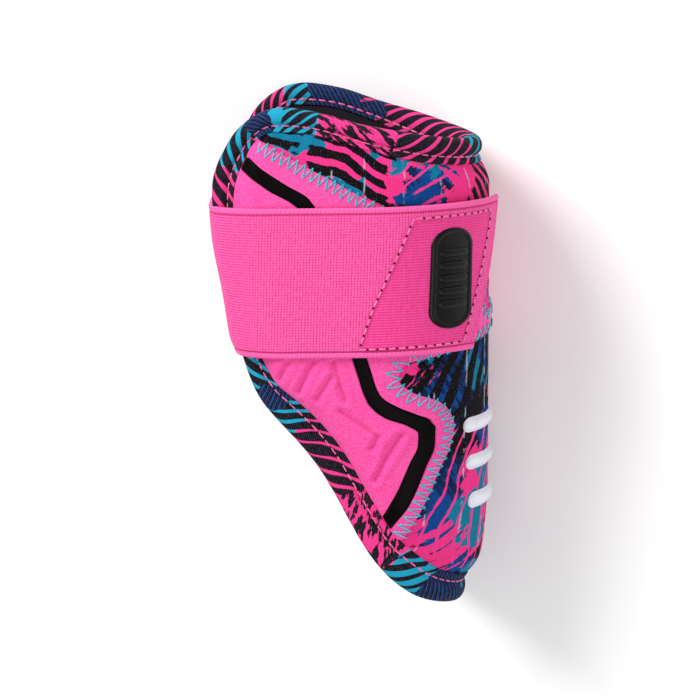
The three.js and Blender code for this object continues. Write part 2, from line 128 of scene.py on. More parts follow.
PANEL_SIDE = (
    Track(0.154, 0.309),
    Track(0.184, 0.298),
    Track(0.234, 0.271),
    Track(0.3, 0.2375),
    Track(0.343, 0.211),
    Track(0.381, 0.202),
    Track(0.408, 0.217),
    Track(0.431, 0.25),
    Track(0.455, 0.33),
    Track(0.484, 0.368),
    Track(0.509, 0.3525),
    Track(0.526, 0.233),
    Track(0.54, 0.1275),
    Track(0.549, 0.05),
    Track(0.554, 0.025),
    Track(0.586, 0.025),
    Track(0.6, 0.067),
    Track(0.698, 0.233),
    Track(0.8135, 0.432),
    Track(0.851, 0.545),
    Track(0.903, 0.716),
    Track(0.942, 0.844),
)
BAND_MIDDLE = (
    Track(0.163, 0.383),
    Track(0.1995, 0.358),
    Track(0.243, 0.328),
    Track(0.311, 0.2975),
    Track(0.349, 0.28),
    Track(0.375, 0.282),
    Track(0.393, 0.3075),
    Track(0.41, 0.356),
    Track(0.424, 0.393),
    Track(0.441, 0.425),
    Track(0.463, 0.447),
    Track(0.489, 0.463),
    Track(0.5195, 0.482),
    Track(0.809, 0.668),
    Track(0.824, 0.693),
    Track(0.853, 0.776),
    Track(0.879, 0.845),
    Track(0.8995, 0.8925),
    Track(0.93, 0.967),
)


def smooth_at(table: Sequence[tuple], column: int, along: Any) -> Array:
    """Reads one column of a table smoothly and without overshoot.

    Args:
        table: rows whose first value is the place along.
        column: which value of the rows to read.
        along: places to read at.

    Returns:
        The value at each place, held level past both ends.
    """
    places = np.array([row[0] for row in table], float)
    values = np.array([row[column] for row in table], float)
    steps = np.diff(places)
    rises = np.diff(values) / steps
    slopes = np.concatenate([rises[:1], np.zeros(len(rises) - 1), rises[-1:]])
    same_way = rises[:-1] * rises[1:] > 0
    before = 2 * steps[1:] + steps[:-1]
    after = steps[1:] + 2 * steps[:-1]
    with np.errstate(divide="ignore", invalid="ignore"):
        mean = (before + after) / (before / rises[:-1] + after / rises[1:])
    slopes[1:-1] = np.where(same_way, mean, 0)
    along = np.clip(np.asarray(along, float), places[0], places[-1])
    i = np.clip(np.searchsorted(places, along, side="left") - 1, 0, len(steps) - 1)
    t = (along - places[i]) / steps[i]
    start = (2 * t**3 - 3 * t**2 + 1) * values[i]
    end = (3 * t**2 - 2 * t**3) * values[i + 1]
    start_slope = (t**3 - 2 * t**2 + t) * steps[i] * slopes[i]
    end_slope = (t**3 - t**2) * steps[i] * slopes[i + 1]
    return start + end + start_slope + end_slope


def smoothstep(value: Any, low: float, high: float) -> Array:
    """Eases from 0 to 1 between two values."""
    share = np.clip((np.asarray(value, float) - low) / (high - low), 0, 1)
    return share * share * (3 - 2 * share)


def bell(offset: Any, width: float) -> Array:
    """Gives a hump of height 1 that falls away over a width."""
    return np.exp(-((offset / width) ** 2))


def round_through(knots: Array, place: Any, power: float) -> Array:
    """Reads a smooth closed curve through knots.

    Args:
        knots: one row for each, the last followed by the first.
        place: places counted in knots.
        power: 0 for knots passed at an even pace, 0.25 for a pace by the root of their gaps.

    Returns:
        The curve's values at each place.
    """
    count = len(knots)
    i = np.floor(place).astype(int)
    t = (place - i)[..., None]
    p0, p1, p2, p3 = (knots[(i + k) % count] for k in (-1, 0, 1, 2))
    pairs = ((p0, p1), (p1, p2), (p2, p3))
    d0, d1, d2 = (np.sum((b - a) ** 2, -1)[..., None] ** power for a, b in pairs)
    m1 = ((p1 - p0) / d0 - (p2 - p0) / (d0 + d1) + (p2 - p1) / d1) * d1
    m2 = ((p2 - p1) / d1 - (p3 - p1) / (d1 + d2) + (p3 - p2) / d2) * d1
    c2 = -3 * p1 + 3 * p2 - 2 * m1 - m2
    c3 = 2 * p1 - 2 * p2 + m1 + m2
    return p1 + m1 * t + c2 * t**2 + c3 * t**3


def lengths_along(line: Array) -> Array:
    """Measures how far along a line of points each point lies."""
    return np.concatenate([[0], np.cumsum(np.linalg.norm(np.diff(line, axis=0), axis=1))])


def read_along(line: Array, lengths: Array, places: Array) -> Array:
    """Reads a line of points at the given lengths along it."""
    return np.stack([np.interp(places, lengths, column) for column in line.T], -1)


def distance_to_run(place: Array, start: Sequence[float], end: Sequence[float]) -> Array:
    """Measures how far flat places lie from a straight run between two of them.

    Args:
        place: flat places.
        start: one end of the run.
        end: its other end.

    Returns:
        The distance of each place.
    """
    run = np.subtract(end, start)
    here = place - start
    share = np.clip(here @ run / (run @ run), 0, 1)
    return np.linalg.norm(here - share[..., None] * run, axis=-1)


def sheet_of_shares(rows: int, columns: int) -> list[Array]:
    """Gives a grid's shares across, from -1 to 1, and its shares up, from 0 to 1."""
    return np.meshgrid(np.linspace(-1, 1, columns + 1), np.linspace(0, 1, rows + 1))


@dataclass(frozen=True)
class Form:
    """The bent shell that every cloth layer follows, in millimetres and in the flat pattern."""

    length: float = 215.0
    half_girth: float = 120.0
    roll_width: float = 12.0
    roll_height: float = 8.8
    pad_height: float = 12.0
    seam_height: float = 7.6
    shoulder: float = 10.0
    far_reach: float = 1.03
    far_lift: float = 3.5
    rest_pitch: float = 2.4
    rest_roll: float = 8.5
    origin: tuple[float, float, float] = (46.3928, -110.5488, 41.0108)

    def section(self, arc: Array) -> tuple[Array, Array]:
        """Traces the full-scale section by its heading.

        Args:
            arc: distances along the lining from the spine.

        Returns:
            The places towards the spine and to the side.
        """
        step = 0.05
        middles = np.arange(step / 2, self.half_girth * 1.8, step)
        places = [row.along * self.half_girth for row in HEADINGS]
        turn = np.radians(np.interp(middles, places, [row.turn for row in HEADINGS]))
        arcs = np.concatenate([[0], middles + step / 2])
        inward = np.concatenate([[0], np.cumsum(-np.sin(turn) * step)])
        sideward = np.concatenate([[0], np.cumsum(np.cos(turn) * step)])
        return np.interp(arc, arcs, inward), np.interp(arc, arcs, sideward)

    def lining(self, around: Array, up: Array) -> Array:
        """Gives points of the lining's inner face, near side positive.

        Args:
            around: places round from the spine.
            up: places along the spine.

        Returns:
            The points in form millimetres.
        """
        far = around < 0
        share = up / self.length
        girth = smooth_at(TAPERS, 1, share)
        tuck = smooth_at(TAPERS, 2, share) * self.pad_height
        inward, sideward = self.section(np.abs(around) * np.where(far, self.far_reach, 1) / girth)
        wing = smoothstep(-around, 0.15 * self.half_girth, 0.65 * self.half_girth)
        lift = self.far_lift * wing * smoothstep(share, 0.55, 0.95)
        side = np.where(far, -1, 1)
        return np.stack([girth * inward + tuck, up + lift, side * girth * sideward], -1)

    def wrap(self, around: Any, up: Any, height: Any) -> Array:
        """Raises flat-pattern places above the lining along its normal, in millimetres.

        Args:
            around: places round from the spine.
            up: places along the spine.
            height: millimetres over the lining.

        Returns:
            The points in form millimetres.
        """
        around, up, height = np.broadcast_arrays(*(np.asarray(v, float) for v in (around, up, height)))
        probe = 0.5
        upward = self.lining(around, up + probe) - self.lining(around, up - probe)
        onward = self.lining(around + probe, up) - self.lining(around - probe, up)
        outward = np.cross(upward, onward)
        outward /= np.linalg.norm(outward, axis=-1, keepdims=True)
        return self.lining(around, up) + outward * height[..., None]

    def lean(self) -> Matrix:
        """Gives the turn that lays the guard on its far side.

        Returns:
            The turn from the form to the frame.
        """
        pitch = Matrix.Rotation(math.radians(self.rest_pitch), 3, "X")
        roll = Matrix.Rotation(math.radians(self.rest_roll), 3, "Y")
        return pitch @ roll

    def to_frame(self, points: Array) -> Array:
        """Moves form millimetres to the frame's metres."""
        turned = np.asarray(points, float) @ np.array(self.lean()).T
        return (turned + np.array(self.origin)) * MILLI

    def edge(self, row: Any) -> Array:
        """Gives the closed edge curve in the flat: around, up and roll width.

        Args:
            row: places counted in rows of the edge table, round the whole edge.

        Returns:
            One row of three values for each place.
        """
        near = [(r.around, r.along, r.roll) for r in EDGE_ROWS]
        far = [(-r.around, r.along, r.roll) for r in EDGE_ROWS[1:-1]][::-1]
        knots = np.array(near + far) * (self.half_girth, self.length, self.roll_width)
        return round_through(knots, np.mod(np.asarray(row, float), EDGE_COUNT), 0.25)

    def in_from_edge(self, row: Any, share: Any, extra: Any = 0.0) -> Array:
        """Moves places on the edge inwards by a share of the roll's width and a distance.

        Args:
            row: places counted in rows of the edge table.
            share: shares of the width.
            extra: further millimetres.

        Returns:
            The places around and up.
        """
        point = self.edge(row)
        probe = 0.005
        onward = (self.edge(np.asarray(row) + probe) - self.edge(np.asarray(row) - probe))[..., :2]
        inward = np.stack([-onward[..., 1], onward[..., 0]], -1)
        inward /= np.linalg.norm(inward, axis=-1, keepdims=True)
        return point[..., :2] + inward * (point[..., 2] * share + extra)[..., None]

    def rim_at(self, up: Array, share: float) -> Array:
        """Tells how far round a line of the near edge lies at each height.

        Args:
            up: places along the spine.
            share: the line's share of the roll's width.

        Returns:
            The place around at each.
        """
        rows = np.linspace(0, WING_TIP, 400)
        places = self.in_from_edge(rows, share)
        return np.interp(up, places[:, 1], places[:, 0])

    def seam_distance(self, around: Array, up: Array) -> Array:
        """Measures how far flat-pattern places lie from the seam of the rolled edge.

        Args:
            around: places round from the spine.
            up: places along the spine.

        Returns:
            The distances in millimetres.
        """
        line = self.in_from_edge(np.arange(0, EDGE_COUNT, 1 / 3), 1)
        along = np.roll(line, -1, axis=0) - line
        here = np.stack([around, up], -1).reshape(-1, 1, 2)
        share = np.clip(np.sum((here - line) * along, -1) / np.sum(along**2, -1), 0, 1)
        nearest = np.linalg.norm(here - line - share[..., None] * along, axis=-1).min(1)
        return nearest.reshape(np.shape(around))

    def pad_top(self, around: Array, up: Array) -> Array:
        """Gives the foam's height, which swells over a shoulder from the seam."""
        rise = 1 - np.clip(self.seam_distance(around, up) / self.shoulder, 0, 1)
        return self.seam_height + (self.pad_height - self.seam_height) * (1 - rise**2)

    def ladder(self, across: Array, share: Array, inset: float) -> tuple[Array, Array]:
        """Places a grid over the field inside the seam, its outer rungs on the front edges.

        Args:
            across: shares across the field, from -1 to 1.
            share: shares up the field, from 0 to 1.
            inset: millimetres that the grid's rim lies inside the seam.

        Returns:
            The places around and up.
        """
        reach = np.abs(across)
        low = self.in_from_edge(FRONT_LOW * reach, 1, inset)
        high = self.in_from_edge(SPINE_TOP + (FRONT_HIGH - SPINE_TOP) * reach, 1, inset)
        front = self.in_from_edge(FRONT_LOW + (FRONT_HIGH - FRONT_LOW) * share, 1, inset)
        ends = self.in_from_edge(np.array([FRONT_LOW, FRONT_HIGH]), 1, inset)
        straight = ends[0] + (ends[1] - ends[0]) * share[..., None]
        bend = (front - straight) * (reach**6)[..., None]
        place = low + (high - low) * share[..., None] + bend
        return place[..., 0] * np.sign(across), place[..., 1]


FORM = Form()


class Tool:
    """Small helpers round Blender's operators."""

    @staticmethod
    def alone(obj: Optional[Piece] = None) -> None:
        """Deselects everything, then selects and activates one object.

        Args:
            obj: the object, or None.
        """
        if bpy.context.object and bpy.context.object.mode != "OBJECT":
            bpy.ops.object.mode_set(mode="OBJECT")
        bpy.ops.object.select_all(action="DESELECT")
        if obj is not None:
            obj.select_set(True)
            bpy.context.view_layer.objects.active = obj

    @staticmethod
    @contextmanager
    def editing(obj: Piece) -> Iterator[None]:
        """Keeps an object in edit mode for a while, with all of it selected at first.

        Args:
            obj: the object.

        Returns:
            A context, for a with statement.
        """
        Tool.alone(obj)
        bpy.ops.object.mode_set(mode="EDIT")
        bpy.ops.mesh.select_all(action="SELECT")
        yield
        bpy.ops.object.mode_set(mode="OBJECT")

    @staticmethod
    def places(obj: Piece) -> Array:
        """Reads where each vertex lies.

        Args:
            obj: the object.

        Returns:
            One row of three values for each vertex.
        """
        places = np.empty(len(obj.data.vertices) * 3)
        obj.data.vertices.foreach_get("co", places)
        return places.reshape(-1, 3)

    @staticmethod
    def keep(obj: Piece, name: str, values: Array, kind: str = "FLOAT") -> None:
        """Keeps one value of each vertex as an attribute."""
        obj.data.attributes.new(name, kind, "POINT").data.foreach_set("value", values)

    @staticmethod
    def grid(name: str, rows: int, columns: int) -> Piece:
        """Adds a grid whose vertices know their cell in an attribute.

        Args:
            name: the new object's name.
            rows: cells upwards.
            columns: cells across.

        Returns:
            The flat grid.
        """
        Tool.alone()
        bpy.ops.mesh.primitive_grid_add(x_subdivisions=columns, y_subdivisions=rows, size=1)
        obj = bpy.context.object
        obj.name = name
        places = Tool.places(obj)
        column = np.rint((places[:, 0] + 0.5) * columns).astype(int)
        row = np.rint((places[:, 1] + 0.5) * rows).astype(int)
        Tool.keep(obj, "cell", row * (columns + 1) + column, "INT")
        return obj

    @staticmethod
    def cells(obj: Piece) -> Array:
        """Reads the cell number of each vertex.

        Args:
            obj: a grid.

        Returns:
            One number for each vertex.
        """
        values = np.empty(len(obj.data.vertices), int)
        obj.data.attributes["cell"].data.foreach_get("value", values)
        return values

    @staticmethod
    def drop_faces(obj: Piece, drop: Array) -> None:
        """Deletes the marked faces.

        Args:
            obj: a grid.
            drop: one mark for each face.
        """
        with Tool.editing(obj):
            bpy.ops.mesh.select_all(action="DESELECT")
            bpy.ops.mesh.select_mode(type="FACE")
        obj.data.polygons.foreach_set("select", drop)
        bpy.ops.object.mode_set(mode="EDIT")
        bpy.ops.mesh.delete(type="FACE")
        bpy.ops.object.mode_set(mode="OBJECT")

    @staticmethod
    def thicken(obj: Piece) -> Array:
        """Extrudes a whole grid into a closed shell.

        Args:
            obj: a grid.

        Returns:
            For each vertex, whether it belongs to the raised face.
        """
        rise = 0.1
        with Tool.editing(obj):
            bpy.ops.mesh.select_mode(type="VERT")
            bpy.ops.mesh.select_all(action="SELECT")
            bpy.ops.mesh.extrude_region_move(TRANSFORM_OT_translate={"value": (0, 0, rise)})
        return Tool.places(obj)[:, 2] > rise / 2

    @staticmethod
    def finish(obj: Piece, angle: float = 40.0) -> None:
        """Turns the faces outwards and shades them smooth up to an angle.

        Args:
            obj: the piece.
            angle: degrees up to which an edge is smooth.
        """
        with Tool.editing(obj):
            bpy.ops.mesh.normals_make_consistent(inside=False)
        bpy.ops.object.shade_smooth_by_angle(angle=math.radians(angle))

    @staticmethod
    def settle(obj: Piece, places: Array, flat: Array) -> None:
        """Moves the vertices of a grid to their places and gives it its UV map.

        Args:
            obj: a grid.
            places: where each vertex belongs, in the frame.
            flat: its flat place in millimetres.
        """
        obj.data.vertices.foreach_set("co", places.ravel())
        obj.data.attributes.remove(obj.data.attributes["cell"])
        layer = obj.data.uv_layers.active or obj.data.uv_layers.new(name="flat")
        corners = np.empty(len(obj.data.loops), int)
        obj.data.loops.foreach_get("vertex_index", corners)
        layer.data.foreach_set("uv", (flat[corners] / UV_MM).astype(np.float32).ravel())

    @staticmethod
    def join(name: str, pieces: Sequence[Piece]) -> Piece:
        """Joins objects into the first and names it.

        Args:
            name: the joined piece's name.
            pieces: the objects.

        Returns:
            The joined piece.
        """
        Tool.alone(pieces[0])
        for piece in pieces:
            piece.select_set(True)
        bpy.ops.object.join()
        pieces[0].name = name
        return pieces[0]


@dataclass
class Patch:
    """A grid of places in the flat pattern with the heights of its two faces."""

    around: Array
    up: Array
    low: Array
    high: Array
    drop: Optional[Array] = None

    def build(self, name: str) -> Piece:
        """Makes the closed shell in the frame and names it."""
        low, high = (FORM.to_frame(FORM.wrap(self.around, self.up, face)) for face in (self.low, self.high))
        return shell(name, low, high, np.stack([self.around, self.up], -1), self.drop)


def shell(
    name: str,
    low: Array,
    high: Array,
    flat: Array,
    drop: Optional[Array] = None,
    values: Optional[dict[str, Array]] = None,
) -> Piece:
    """Makes a closed shell between two grids of points in the frame.

    Args:
        name: the piece's name.
        low: inner points, rows by columns.
        high: outer points.
        flat: flat places in millimetres, for the UV map.
        drop: cells to leave out, or None.
        values: further values of each point, kept as attributes by name.

    Returns:
        The piece.
    """
    columns = low.shape[1] - 1
    obj = Tool.grid(name, low.shape[0] - 1, columns)
    if drop is not None:
        cell = Tool.cells(obj)
        corners = np.array([polygon.vertices[:] for polygon in obj.data.polygons])
        first = cell[corners].min(1)
        Tool.drop_faces(obj, drop[first // (columns + 1), first % (columns + 1)])
    raised = Tool.thicken(obj)
    cell = Tool.cells(obj)
    low, high, flat = (grid.reshape(-1, grid.shape[-1])[cell] for grid in (low, high, flat))
    for label, grid in (values or {}).items():
        Tool.keep(obj, label, grid.ravel()[cell])
    Tool.settle(obj, np.where(raised[:, None], high, low), flat)
    Tool.finish(obj)
    return obj


class Wire:
    """A shader socket that adds Math nodes when it is calculated with."""

    def __init__(self, kit: "NodeKit", socket: bpy.types.NodeSocket) -> None:
        """Wraps one output socket."""
        self.kit = kit
        self.socket = socket

    def math(self, operation: str, *others: Any) -> "Wire":
        """Adds one Math node with this wire as its first value.

        Args:
            operation: the node's operation.
            others: its further values.

        Returns:
            The result.
        """
        inputs = {0: self}
        inputs.update({i + 1: other for i, other in enumerate(others)})
        return self.kit.node("ShaderNodeMath", {"operation": operation}, inputs)

    def __add__(self, other: Any) -> "Wire":
        """Adds."""
        return self.math("ADD", other)

    __radd__ = __add__

    def __sub__(self, other: Any) -> "Wire":
        """Subtracts."""
        return self.math("SUBTRACT", other)

    def __rsub__(self, other: Any) -> "Wire":
        """Subtracts this wire from a number."""
        return self.kit.node("ShaderNodeMath", {"operation": "SUBTRACT"}, {0: other, 1: self})

    def __mul__(self, other: Any) -> "Wire":
        """Multiplies."""
        return self.math("MULTIPLY", other)

    __rmul__ = __mul__

    def __truediv__(self, other: Any) -> "Wire":
        """Divides."""
        return self.math("DIVIDE", other)

    def frac(self) -> "Wire":
        """Keeps the part after the point."""
        return self.math("FRACT")

    def sine(self) -> "Wire":
        """Takes the sine."""
        return self.math("SINE")

    def size(self) -> "Wire":
        """Takes the absolute value."""
        return self.math("ABSOLUTE")

    def ease(self, low: float, high: float) -> "Wire":
        """Eases from 0 to 1 between two values."""
        settings = {"interpolation_type": "SMOOTHSTEP"}
        return self.kit.node("ShaderNodeMapRange", settings, {0: self, 1: low, 2: high, 3: 0.0, 4: 1.0})


class NodeKit:
    """Builds one material's node tree."""

    def __init__(self, name: str) -> None:
        """Starts a material with its shader.

        Args:
            name: the material's name.
        """
        self.material = bpy.data.materials.new(name)
        self.material.use_nodes = True
        self.tree = self.material.node_tree
        self.shader = self.tree.nodes["Principled BSDF"]

    def node(self, kind: str, settings: dict[str, Any], inputs: dict[Any, Any], output: Any = 0) -> Wire:
        """Adds any node.

        Args:
            kind: the node's type.
            settings: its options, set before its sockets.
            inputs: values or wires by socket number or name.
            output: which output the wire carries.

        Returns:
            A wire on that output.
        """
        made = self.tree.nodes.new(kind)
        for option, value in settings.items():
            setattr(made, option, value)
        for key, value in inputs.items():
            self.feed(made.inputs[key], value)
        return Wire(self, made.outputs[output])

    def feed(self, socket: bpy.types.NodeSocket, value: Any) -> None:
        """Links a wire, or sets a value or a dye.

        Args:
            socket: an input.
            value: what it takes.
        """
        if isinstance(value, Wire):
            self.tree.links.new(value.socket, socket)
        else:
            socket.default_value = value.value if isinstance(value, Dye) else value

    def flat(self) -> tuple[Wire, Wire]:
        """Reads the UV map as millimetres around and up.

        Returns:
            The two wires.
        """
        uv = self.node("ShaderNodeTexCoord", {}, {}, "UV")
        around = self.node("ShaderNodeSeparateXYZ", {}, {0: uv}, 0)
        up = self.node("ShaderNodeSeparateXYZ", {}, {0: uv}, 1)
        return around * UV_MM, up * UV_MM

    def noise(self, place: Any, grain: float, detail: float = 2.0) -> Wire:
        """Samples noise whose features are about one grain wide, in the place's unit.

        Args:
            place: a vector, or its two or three values.
            grain: how wide a feature is.
            detail: how many finer layers there are.

        Returns:
            The noise, about 0.5 in the middle.
        """
        if isinstance(place, tuple):
            place = self.node("ShaderNodeCombineXYZ", {}, dict(enumerate(place)))
        inputs = {"Vector": place, "Scale": 1 / grain, "Detail": detail}
        return self.node("ShaderNodeTexNoise", {"noise_dimensions": "3D"}, inputs)

    def attribute(self, name: str) -> Wire:
        """Reads one of the piece's own values."""
        return self.node("ShaderNodeAttribute", {"attribute_name": name}, {}, "Fac")

    def object_place(self) -> Wire:
        """Reads Object coordinates in millimetres."""
        where = self.node("ShaderNodeTexCoord", {}, {}, "Object")
        return self.node("ShaderNodeVectorMath", {"operation": "SCALE"}, {0: where, "Scale": 1 / MILLI})

    def mix(self, share: Any, first: Any, second: Any) -> Wire:
        """Mixes two colours, by the sockets that the node keeps for colour: inputs 6 and 7, output 2."""
        return self.node("ShaderNodeMix", {"data_type": "RGBA"}, {"Factor": share, 6: first, 7: second}, 2)

    def bump(self, height: Wire, depth: float, strength: float = 1.0) -> None:
        """Feeds the shader's normal from a height in millimetres."""
        inputs = {"Height": height, "Distance": depth * MILLI, "Strength": strength}
        self.feed(self.shader.inputs["Normal"], self.node("ShaderNodeBump", {}, inputs))

    def dress(self, **sockets: Any) -> bpy.types.Material:
        """Sets the shader's sockets by name, with underscores for spaces, and gives the material.

        Args:
            sockets: a value or wire for each.

        Returns:
            The material.
        """
        for name, value in sockets.items():
            self.feed(self.shader.inputs[name.replace("_", " ")], value)
        return self.material


def colour(red: int, green: int, blue: int) -> tuple[float, float, float, float]:
    """Turns an sRGB colour of 0 to 255 into the shader's linear colour.

    Args:
        red: from 0 to 255.
        green: the same.
        blue: the same.

    Returns:
        The colour, opaque.
    """
    channels = []
    for value in (red, green, blue):
        share = value / 255
        channels.append(share / 12.92 if share <= 0.04045 else ((share + 0.055) / 1.055) ** 2.4)
    return (*channels, 1.0)


class Dye(Enum):
    """The colours of the guard's cloths, threads and mouldings, and of the shade painted in the suede's
    creases and the elastic's grooves.
    """

    PINK = colour(240, 56, 140)
    HOT_PINK = colour(240, 52, 134)
    TEAL = colour(8, 118, 152)
    BRIGHT_TEAL = colour(14, 158, 190)
    NAVY = colour(8, 33, 76)
    BLUE = colour(4, 70, 140)
    BLACK = colour(13, 9, 13)
    WORN = colour(196, 208, 228)
    FLECK = colour(160, 150, 168)
    TAPE_FLECK = colour(150, 140, 176)
    SUEDE_DEEP = colour(234, 64, 148)
    SUEDE = colour(249, 90, 170)
    SUEDE_PALE = colour(250, 104, 180)
    SUEDE_CREASE_SHADE = colour(206, 40, 118)
    ELASTIC_DEEP = colour(221, 46, 126)
    ELASTIC = colour(248, 95, 168)
    ELASTIC_DOUBLE = colour(242, 74, 152)
    ELASTIC_SLUB = colour(250, 106, 176)
    ELASTIC_HEM = colour(250, 104, 176)
    ELASTIC_GROOVE_SHADE = colour(190, 30, 100)
    LINING_HOLE = colour(16, 15, 20)
    LINING = colour(40, 38, 46)
    LINING_CLOUD = colour(24, 26, 44)


@dataclass(frozen=True)
class PrintedKnit:
    """A stretch knit with a generic print of torn patches, arcs and dry brush strokes."""

    patch_grain: float = 30.0
    arc_pitch: float = 5.6
    brush_length: float = 13.0
    brush_width: float = 1.5
    streak_pitch: float = 13.0
    loop_pitch: float = 0.95

    def arcs(self, flat: tuple[Wire, Wire], centre: tuple[float, float], sway: Wire) -> Wire:
        """Draws rings round a centre.

        Args:
            flat: places around and up.
            centre: the rings' centre, in the flat.
            sway: noise that bends them.

        Returns:
            A triangle wave from 0 to 1 across each ring.
        """
        across, above = flat[0] - centre[0], flat[1] - centre[1]
        radius = (across * across + above * above).math("SQRT")
        return ((radius / self.arc_pitch + sway).frac() * 2.0 - 1.0).size()

    def brush(self, kit: NodeKit, flat: tuple[Wire, Wire], angle: float, layer: float) -> Wire:
        """Draws dry brush streaks: a layer of noise drawn out along one angle, in radians.

        Args:
            kit: the material.
            flat: places around and up.
            angle: the streaks' angle.
            layer: which layer of the noise.

        Returns:
            The streaks, from 0 to 1.
        """
        along = flat[0] * math.cos(angle) + flat[1] * math.sin(angle)
        across = flat[1] * math.cos(angle) - flat[0] * math.sin(angle)
        return kit.noise((along / self.brush_length, across / self.brush_width, layer), 1.0, 3.0)

    def make(self) -> bpy.types.Material:
        """Builds the material.

        Returns:
            The material.
        """
        kit = NodeKit("printed_knit")
        flat = kit.flat()
        around, up = flat
        torn = kit.noise(flat, 4.0, 4.0)
        streak = self.streaks(kit, flat, torn)
        shade = kit.mix(streak * 0.6, self.print_on(kit, flat, torn), Dye.WORN)
        loops = (around * (2 * math.pi / self.loop_pitch)).sine()
        rows = (up * (2 * math.pi / (self.loop_pitch * 0.85)) + loops).sine()
        knit = loops * 0.5 + rows * 0.35
        fleck = kit.noise(flat, 0.9, 2.0).ease(0.5, 0.68)
        shade = kit.mix(knit.ease(-0.1, 0.7) * fleck * 0.15, shade, Dye.FLECK)
        kit.bump(knit * 0.6 - streak * 0.8 + torn * 0.5, 0.25, 0.8)
        return kit.dress(Base_Color=shade, Roughness=0.85, Specular_IOR_Level=0.1)

    def streaks(self, kit: NodeKit, flat: tuple[Wire, Wire], torn: Wire) -> Wire:
        """Draws the pale upright streaks where the knit is stretched.

        Args:
            kit: the material.
            flat: places around and up.
            torn: noise that roughens them.

        Returns:
            The streaks, from 0 to 1.
        """
        line = ((flat[0] / self.streak_pitch + torn * 0.1).frac() - 0.5).size()
        worn = kit.noise((flat[0] * 2.0, flat[1] * 0.8), 5.0, 3.0)
        return (1 - line.ease(0.0, 0.045)) * worn.ease(0.5, 0.6)

    def print_on(self, kit: NodeKit, flat: tuple[Wire, Wire], torn: Wire) -> Wire:
        """Prints the patches and arcs, one colour over another.

        Args:
            kit: the material.
            flat: places around and up.
            torn: noise that roughens every outline.

        Returns:
            The print's colour.
        """
        around, up = flat
        grain = self.patch_grain
        sway = kit.noise(flat, 24.0, 1.5) * 2.2
        rings = self.arcs(flat, (96.0, 128.0), sway)
        far_rings = self.arcs(flat, (-70.0, 30.0), sway)
        dry = self.brush(kit, flat, 1.05, 3.0)
        far_dry = self.brush(kit, flat, -0.75, 8.0)
        pink = kit.noise((around + 57.0, up * 0.9), grain, 1.0) + rings * 0.09 + far_dry * 0.16 + torn * 0.12
        blue = kit.noise((around, up, 90.0), grain * 0.8, 1.0) + dry * 0.3 + torn * 0.08
        teal = kit.noise((around, up * 1.2, 210.0), grain * 0.75, 1.0) + torn * 0.16 + far_dry * 0.1
        arcs = kit.noise((around, up, 320.0), grain, 1.0) + torn * 0.12
        shade = kit.mix(blue.ease(0.61, 0.66), Dye.BLACK, Dye.NAVY)
        shade = kit.mix(blue.ease(0.69, 0.73) * 0.9, shade, Dye.BLUE)
        middle = up.ease(58.0, 74.0) * (1 - up.ease(112.0, 132.0))
        bias = up.ease(120.0, 185.0) * 0.07 - middle * 0.05 - 0.012
        shade = kit.mix((pink + bias - 0.635).ease(0.0, 0.01), shade, Dye.HOT_PINK)
        shade = kit.mix((teal - 0.722).ease(0.0, 0.015), shade, Dye.TEAL)
        ring_line = (rings + torn * 0.5).ease(0.62, 0.68)
        shade = kit.mix(ring_line * arcs.ease(0.56, 0.575), shade, Dye.BLACK)
        far_line = (far_rings + torn * 0.4).ease(0.98, 1.03)
        return kit.mix(far_line * (1 - arcs.ease(0.49, 0.51)), shade, Dye.PINK)


@dataclass(frozen=True)
class StripedTwill:
    """A twill tape printed with slanting stripes whose colours change along the edge."""

    pitch: float = 4.6
    hatch_pitch: float = 2.1
    twill_pitch: float = 1.0

    def make(self) -> bpy.types.Material:
        """Builds the material.

        Returns:
            The material.
        """
        kit = NodeKit("striped_twill")
        along, across = kit.flat()
        teal, plain, ink, wild = (kit.attribute(name) for name in ("teal", "plain", "ink", "wild"))
        drift = kit.noise((along, across * 0.8), 26.0, 0.3)
        torn = kit.noise((along, across), 3.5, 4.0)
        patch = kit.noise((along, across, 300.0), 13.0, 2.0)
        phase = (along * 0.67 + across * 0.74 + drift * 7.0) / self.pitch
        wave = (phase.frac() * 2.0 - 1.0).size()
        width = 0.38 + kit.noise((along, across, 50.0), 12.0, 0.3) * 0.6 - plain * 0.35
        onward, sideways = along * 0.1 + across * 0.07, across * 0.34 - along * 0.24
        sweep = kit.noise((onward, sideways, 150.0), 1.0, 3.0)
        brushed = (sweep - 0.5).ease(0.0, 0.02)
        stripe = (wave + torn * 0.08 + 0.1 - width).ease(0.12, 0.19)
        stripe = stripe + (brushed - stripe) * (wild + patch * 0.4 - 0.7).ease(0.0, 0.05)
        dye = kit.mix((teal + patch - 1.0).ease(-0.03, 0.03), Dye.PINK, Dye.BRIGHT_TEAL)
        shade = kit.mix(stripe, Dye.BLACK, dye)
        hatch = ((along * 0.9 - across * 0.7 + drift * 6.0) / self.hatch_pitch).frac()
        hatched = (ink + patch - 0.95).ease(0.0, 0.04)
        navy = kit.mix((hatch + torn * 0.4).ease(0.62, 0.72), Dye.BLACK, Dye.NAVY)
        navy = kit.mix((hatch + torn * 0.5).ease(1.0, 1.06), navy, Dye.BLUE)
        shade = kit.mix(hatched, shade, navy)
        shade = kit.mix((plain + patch + torn * 0.25 - 1.35).ease(0.0, 0.03), shade, dye)
        twill = ((along - across * 0.8) * (2 * math.pi / self.twill_pitch)).sine()
        fleck = kit.noise((along, across), 1.2, 2.0).ease(0.3, 0.6)
        shade = kit.mix(twill.ease(-0.2, 1.0) * fleck * 0.13, shade, Dye.TAPE_FLECK)
        kit.bump(twill * 0.5 + torn, 0.12, 0.7)
        return kit.dress(Base_Color=shade, Roughness=0.8, Specular_IOR_Level=0.1)


class Stroke(NamedTuple):
    """An embossed groove of the side panel, from one flat place to another."""

    from_around: float
    from_up: float
    to_around: float
    to_up: float
    depth: float


